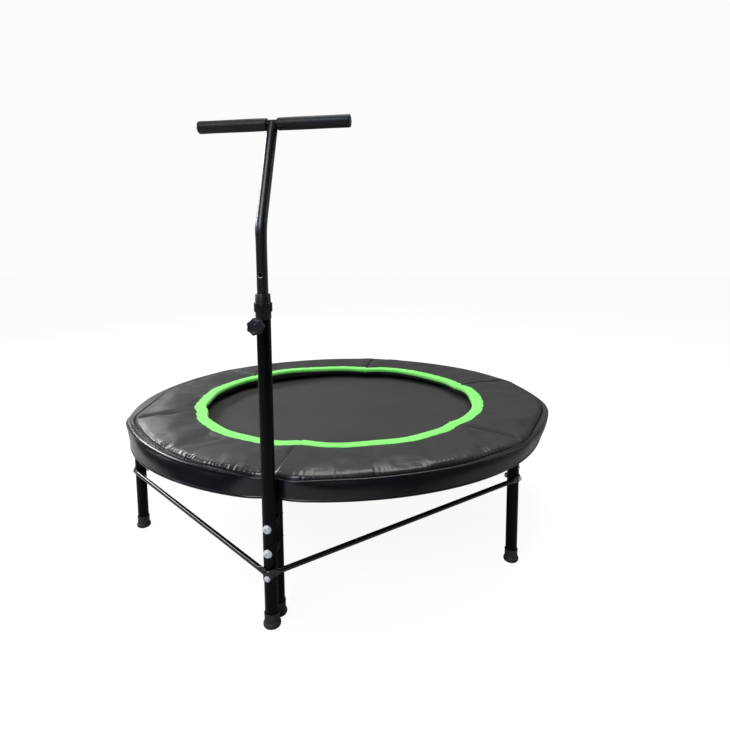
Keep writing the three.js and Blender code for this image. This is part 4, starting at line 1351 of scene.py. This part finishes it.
def build_straps():
    """Webbing loops, sewn to the hem on both sides of each free leg and passed round its inner side."""
    reach, drop = 30 * MM, 14 * MM
    low = SKIRT_BOTTOM - drop
    half_wide, half_thick = 7 * MM, 0.5 * MM
    section = [(-1, -1), (-1, 1), (0, 1.15), (1, 1), (1, -1), (0, -1.15)] * np.array([half_wide, half_thick])
    for i in range(1, len(LEG_NAMES)):
        hem_r = float(np.min(hem_radius(leg_angle(i) + np.linspace(-0.06, 0.06, 5)))) - 6 * MM
        side = [
            (hem_r, reach, SKIRT_BOTTOM + 9 * MM), (RING_R + 8 * MM, 0.72 * reach, SKIRT_BOTTOM - 2 * MM),
            (RING_R - 4 * MM, TUBE_R + 1.6 * MM, low + 1 * MM),
        ]
        path = side + [(RING_R - TUBE_R - 1.2 * MM, 0, low)] + [(r, -y, z) for r, y, z in side[::-1]]
        skin = loft(sweep(smooth_path(path, 8), section, (0, 0, 1)))
        build(f"leg_strap_{LEG_NAMES[i]}", skin, WEBBING, station(i))


# ---- mat and its suspension

LACINGS = 24
EYELET_R = 421 * MM
MAT_CLOTH_R = 404 * MM


def build_mat():
    """The woven disc, very slightly hollow under its own weight, inside a thick sewn hem."""
    angle = np.arange(240) * TURN / 240
    radii = np.concatenate([[0.5 * MM], np.linspace(12 * MM, MAT_CLOTH_R, 40)])
    rows = []
    for half, order in ((0.9 * MM, radii), (-0.9 * MM, radii[::-1])):
        rows += [band(angle, r, MAT_Z + half + mat_wave(r, angle)) for r in order]
    build("mat_cloth", loft(rows), MAT, node="jump_mat", body="mat")
    build_hem()
    build_eyelets()
    ring = around(720)
    height = np.full_like(ring, MAT_Z + 2.45 * MM)
    for name, r in (("inner", 401 * MM), ("outer", 428.5 * MM)):
        radius = np.full_like(ring, r)
        build_stitches(f"hem_stitches_{name}", ring, radius, height, 5 * MM, BLACK_THREAD, "mat")


def mat_wave(r, angle):
    share = (r / MAT_CLOTH_R) ** 2
    return 0.4 * MM * waves(angle, 61, range(2, 7)) * share - 1.2 * MM * (1 - share)


def eyelet_places():
    for i in range(LACINGS):
        a = i * TURN / LACINGS
        yield Matrix.Translation((EYELET_R * math.cos(a), EYELET_R * math.sin(a), MAT_Z))


def build_hem():
    inner, outer = 398 * MM, HEM_OUTER_R
    low, high = MAT_Z - 2.4 * MM, MAT_Z + 2.4 * MM
    outline = rounded([(inner, low, 1), (outer, low, 1), (outer, high, 1), (inner, high, 1)], 1.2 * MM, 4)
    holes = [cutter(rod(5.2 * MM, -10 * MM, 10 * MM, 24), place) for place in eyelet_places()]
    build("mat_edge", lathe(outline, 240), WEBBING, node="mat_hem", cutters=holes, body="mat")


def build_eyelets():
    """Metal eyelets with a flange above and below the hem."""
    bore_r, barrel_r, flange_r = 4.4 * MM, 5.1 * MM, 7.6 * MM
    outline = [
        (bore_r, -3 * MM, 1), (flange_r, -3 * MM, 1), (flange_r, -2.5 * MM, 0), (barrel_r, -2.4 * MM, 0),
        (barrel_r, 2.4 * MM, 0), (flange_r, 2.5 * MM, 0), (flange_r, 3 * MM, 1), (bore_r, 3 * MM, 1),
    ]
    skin = lathe(rounded(outline, 0.4 * MM, 3), 28)
    for i, place in enumerate(eyelet_places()):
        build(f"eyelet_{i:02d}", skin, DARK_METAL, AT_CENTRE @ place, body="mat")


def build_cord():
    """Elastic laced up through each eyelet, over the ring tube, round it and back underneath."""
    radius = 3 * MM
    half = 0.5 * TURN / LACINGS
    round_ring = TUBE_R + radius + 0.3 * MM
    clear_r, bend_r = 446 * MM, EYELET_R + 2 * MM
    # Up through an eyelet: radius, millimetres above the mat, and turn as a share of half the pitch.
    through = [(clear_r, -10, -0.35), (bend_r, -7.5, -0.02), (EYELET_R, -3, 0)]
    through += [(EYELET_R, 3, 0), (bend_r, 7.5, 0.02), (clear_r, 9.5, 0.35)]
    for i in range(LACINGS):
        here = i * TURN / LACINGS
        points = [ring_point(round_ring, t, here - half) for t in np.linspace(0, -115, 8)]
        points += [at_angle(r, MAT_Z + up * MM, here + turn * half) for r, up, turn in through]
        points += [ring_point(round_ring, t, here + half) for t in np.linspace(115, 0, 8)]
        sideways = (-math.sin(here), math.cos(here), 0)
        skin = loft(sweep(smooth_path(points, 4), circle(radius, 12), sideways))
        cord = build(f"cord_{i:02d}", skin, WEBBING, node=None if i else "elastic_cord", body=None)
        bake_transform(cord)


def at_angle(r, z, angle):
    return (r * math.cos(angle), r * math.sin(angle), z)


def ring_point(wrap_r, degrees, angle):
    """A point round the ring tube: 0 degrees is its outer side and 90 its top."""
    t = math.radians(degrees)
    return at_angle(RING_R + wrap_r * math.cos(t), RING_Z + wrap_r * math.sin(t), angle)


# ---- stage


def seen_or_lit(s, for_camera, for_others):
    """One shader for what the camera sees directly, another for light that reaches the object."""
    return s.mix_shaders(s.add("ShaderNodeLightPath", "Is Camera Ray"), for_others, for_camera)


def build_floor():
    """Pale from above, and clear from below so that the underside can be looked at."""
    size = 12.0
    s = Shader("pale_floor", (0.9, 0.9, 0.9), 0.9)
    glow = s.add("ShaderNodeEmission", Color=(1, 1, 1, 1), Strength=0.93)
    lit = s.add("ShaderNodeBsdfDiffuse", Color=(0.15, 0.15, 0.15, 1))
    bounce = s.add("ShaderNodeBsdfDiffuse", Color=(0.45, 0.45, 0.45, 1))
    both = s.tree.nodes.new("ShaderNodeAddShader")
    s.set(both, 0, glow)
    s.set(both, 1, lit)
    from_above = seen_or_lit(s, both.outputs[0], bounce)
    below = s.add("ShaderNodeNewGeometry", "Backfacing")
    surface = s.mix_shaders(below, from_above, s.add("ShaderNodeBsdfTransparent"))
    s.set(s.tree.nodes["Material Output"], "Surface", surface)
    corners = [(-size, -size, 0), (size, -size, 0), (size, size, 0), (-size, size, 0)]
    mesh_object("floor", (corners, [(0, 1, 2, 3)]), s.material)


class Backdrop(Shader):
    """The world's node tree, with the same helpers."""

    def __init__(self, world):
        self.tree = world.node_tree
        self.where = self.tree.nodes.new("ShaderNodeTexCoord").outputs["Generated"]


def build_backdrop():
    """White to the camera. On the object it is a dim studio with a pale wall behind and a dark front."""
    world = bpy.data.worlds.new("studio")
    bpy.context.scene.world = world
    world.use_nodes = True
    s = Backdrop(world)
    _, y, z = s.axes()
    wall = s.between(y, 0.03, 0.42, -0.1, 0.9)
    roof = s.between(z, 0.0, 0.12, 0.2, 1.0)
    others = s.add("ShaderNodeBackground", Strength=s.math("ADD", wall, roof))
    camera = s.add("ShaderNodeBackground", Color=(1, 1, 1, 1), Strength=0.97)
    s.set(s.tree.nodes["World Output"], "Surface", seen_or_lit(s, camera, others))


def add_light(name, at, size_x, size_y, power, color):
    light = bpy.data.lights.new(name, "AREA")
    light.shape = "RECTANGLE"
    light.size, light.size_y = size_x, size_y
    light.energy = power
    light.color = color
    obj = bpy.data.objects.new(name, light)
    bpy.context.scene.collection.objects.link(obj)
    obj.location = at
    aim = CENTRE + Vector((0, 0, 0.35)) - Vector(at)
    obj.rotation_euler = aim.to_track_quat("-Z", "Y").to_euler()


def build_lights():
    add_light("overhead", (0.2, 0.5, 3.1), 2.0, 2.0, 62, (1.0, 0.99, 0.97))
    add_light("left_strip", (-2.5, 0.6, 1.7), 3.6, 0.45, 70, (0.93, 0.96, 1.0))
    add_light("front_box", (-0.8, -2.9, 2.6), 1.5, 1.6, 62, (0.84, 0.92, 1.0))
    add_light("right_strip", (2.7, 0.4, 1.3), 0.35, 1.8, 5, (0.86, 0.93, 1.0))


def build_camera():
    """In front of the handle and to its right, a little above the top of the cover, looking slightly down."""
    camera = bpy.data.cameras.new("camera")
    camera.lens = 27.09
    camera.shift_x, camera.shift_y = -0.0095, -0.0736
    obj = bpy.data.objects.new("camera", camera)
    bpy.context.scene.collection.objects.link(obj)
    place = Matrix.Translation(CENTRE + Vector((0.3508, -1.4367, 0.6929)))
    heading = Matrix.Rotation(math.radians(10.3), 4, "Z")
    pitch = Matrix.Rotation(math.radians(90 - 6.79), 4, "X")
    roll = Matrix.Rotation(math.radians(-0.32), 4, "Z")
    obj.matrix_world = place @ heading @ pitch @ roll
    bpy.context.scene.camera = obj


build_ring()
build_legs()
build_post()
build_braces()
build_handle()
build_collar()
build_bush()
build_lock()
build_mat()
build_cord()
build_binding()
build_skirt()
build_straps()
build_pads()
build_floor()
build_backdrop()
build_lights()
build_camera()
bpy.context.scene.view_settings.view_transform = "Standard"
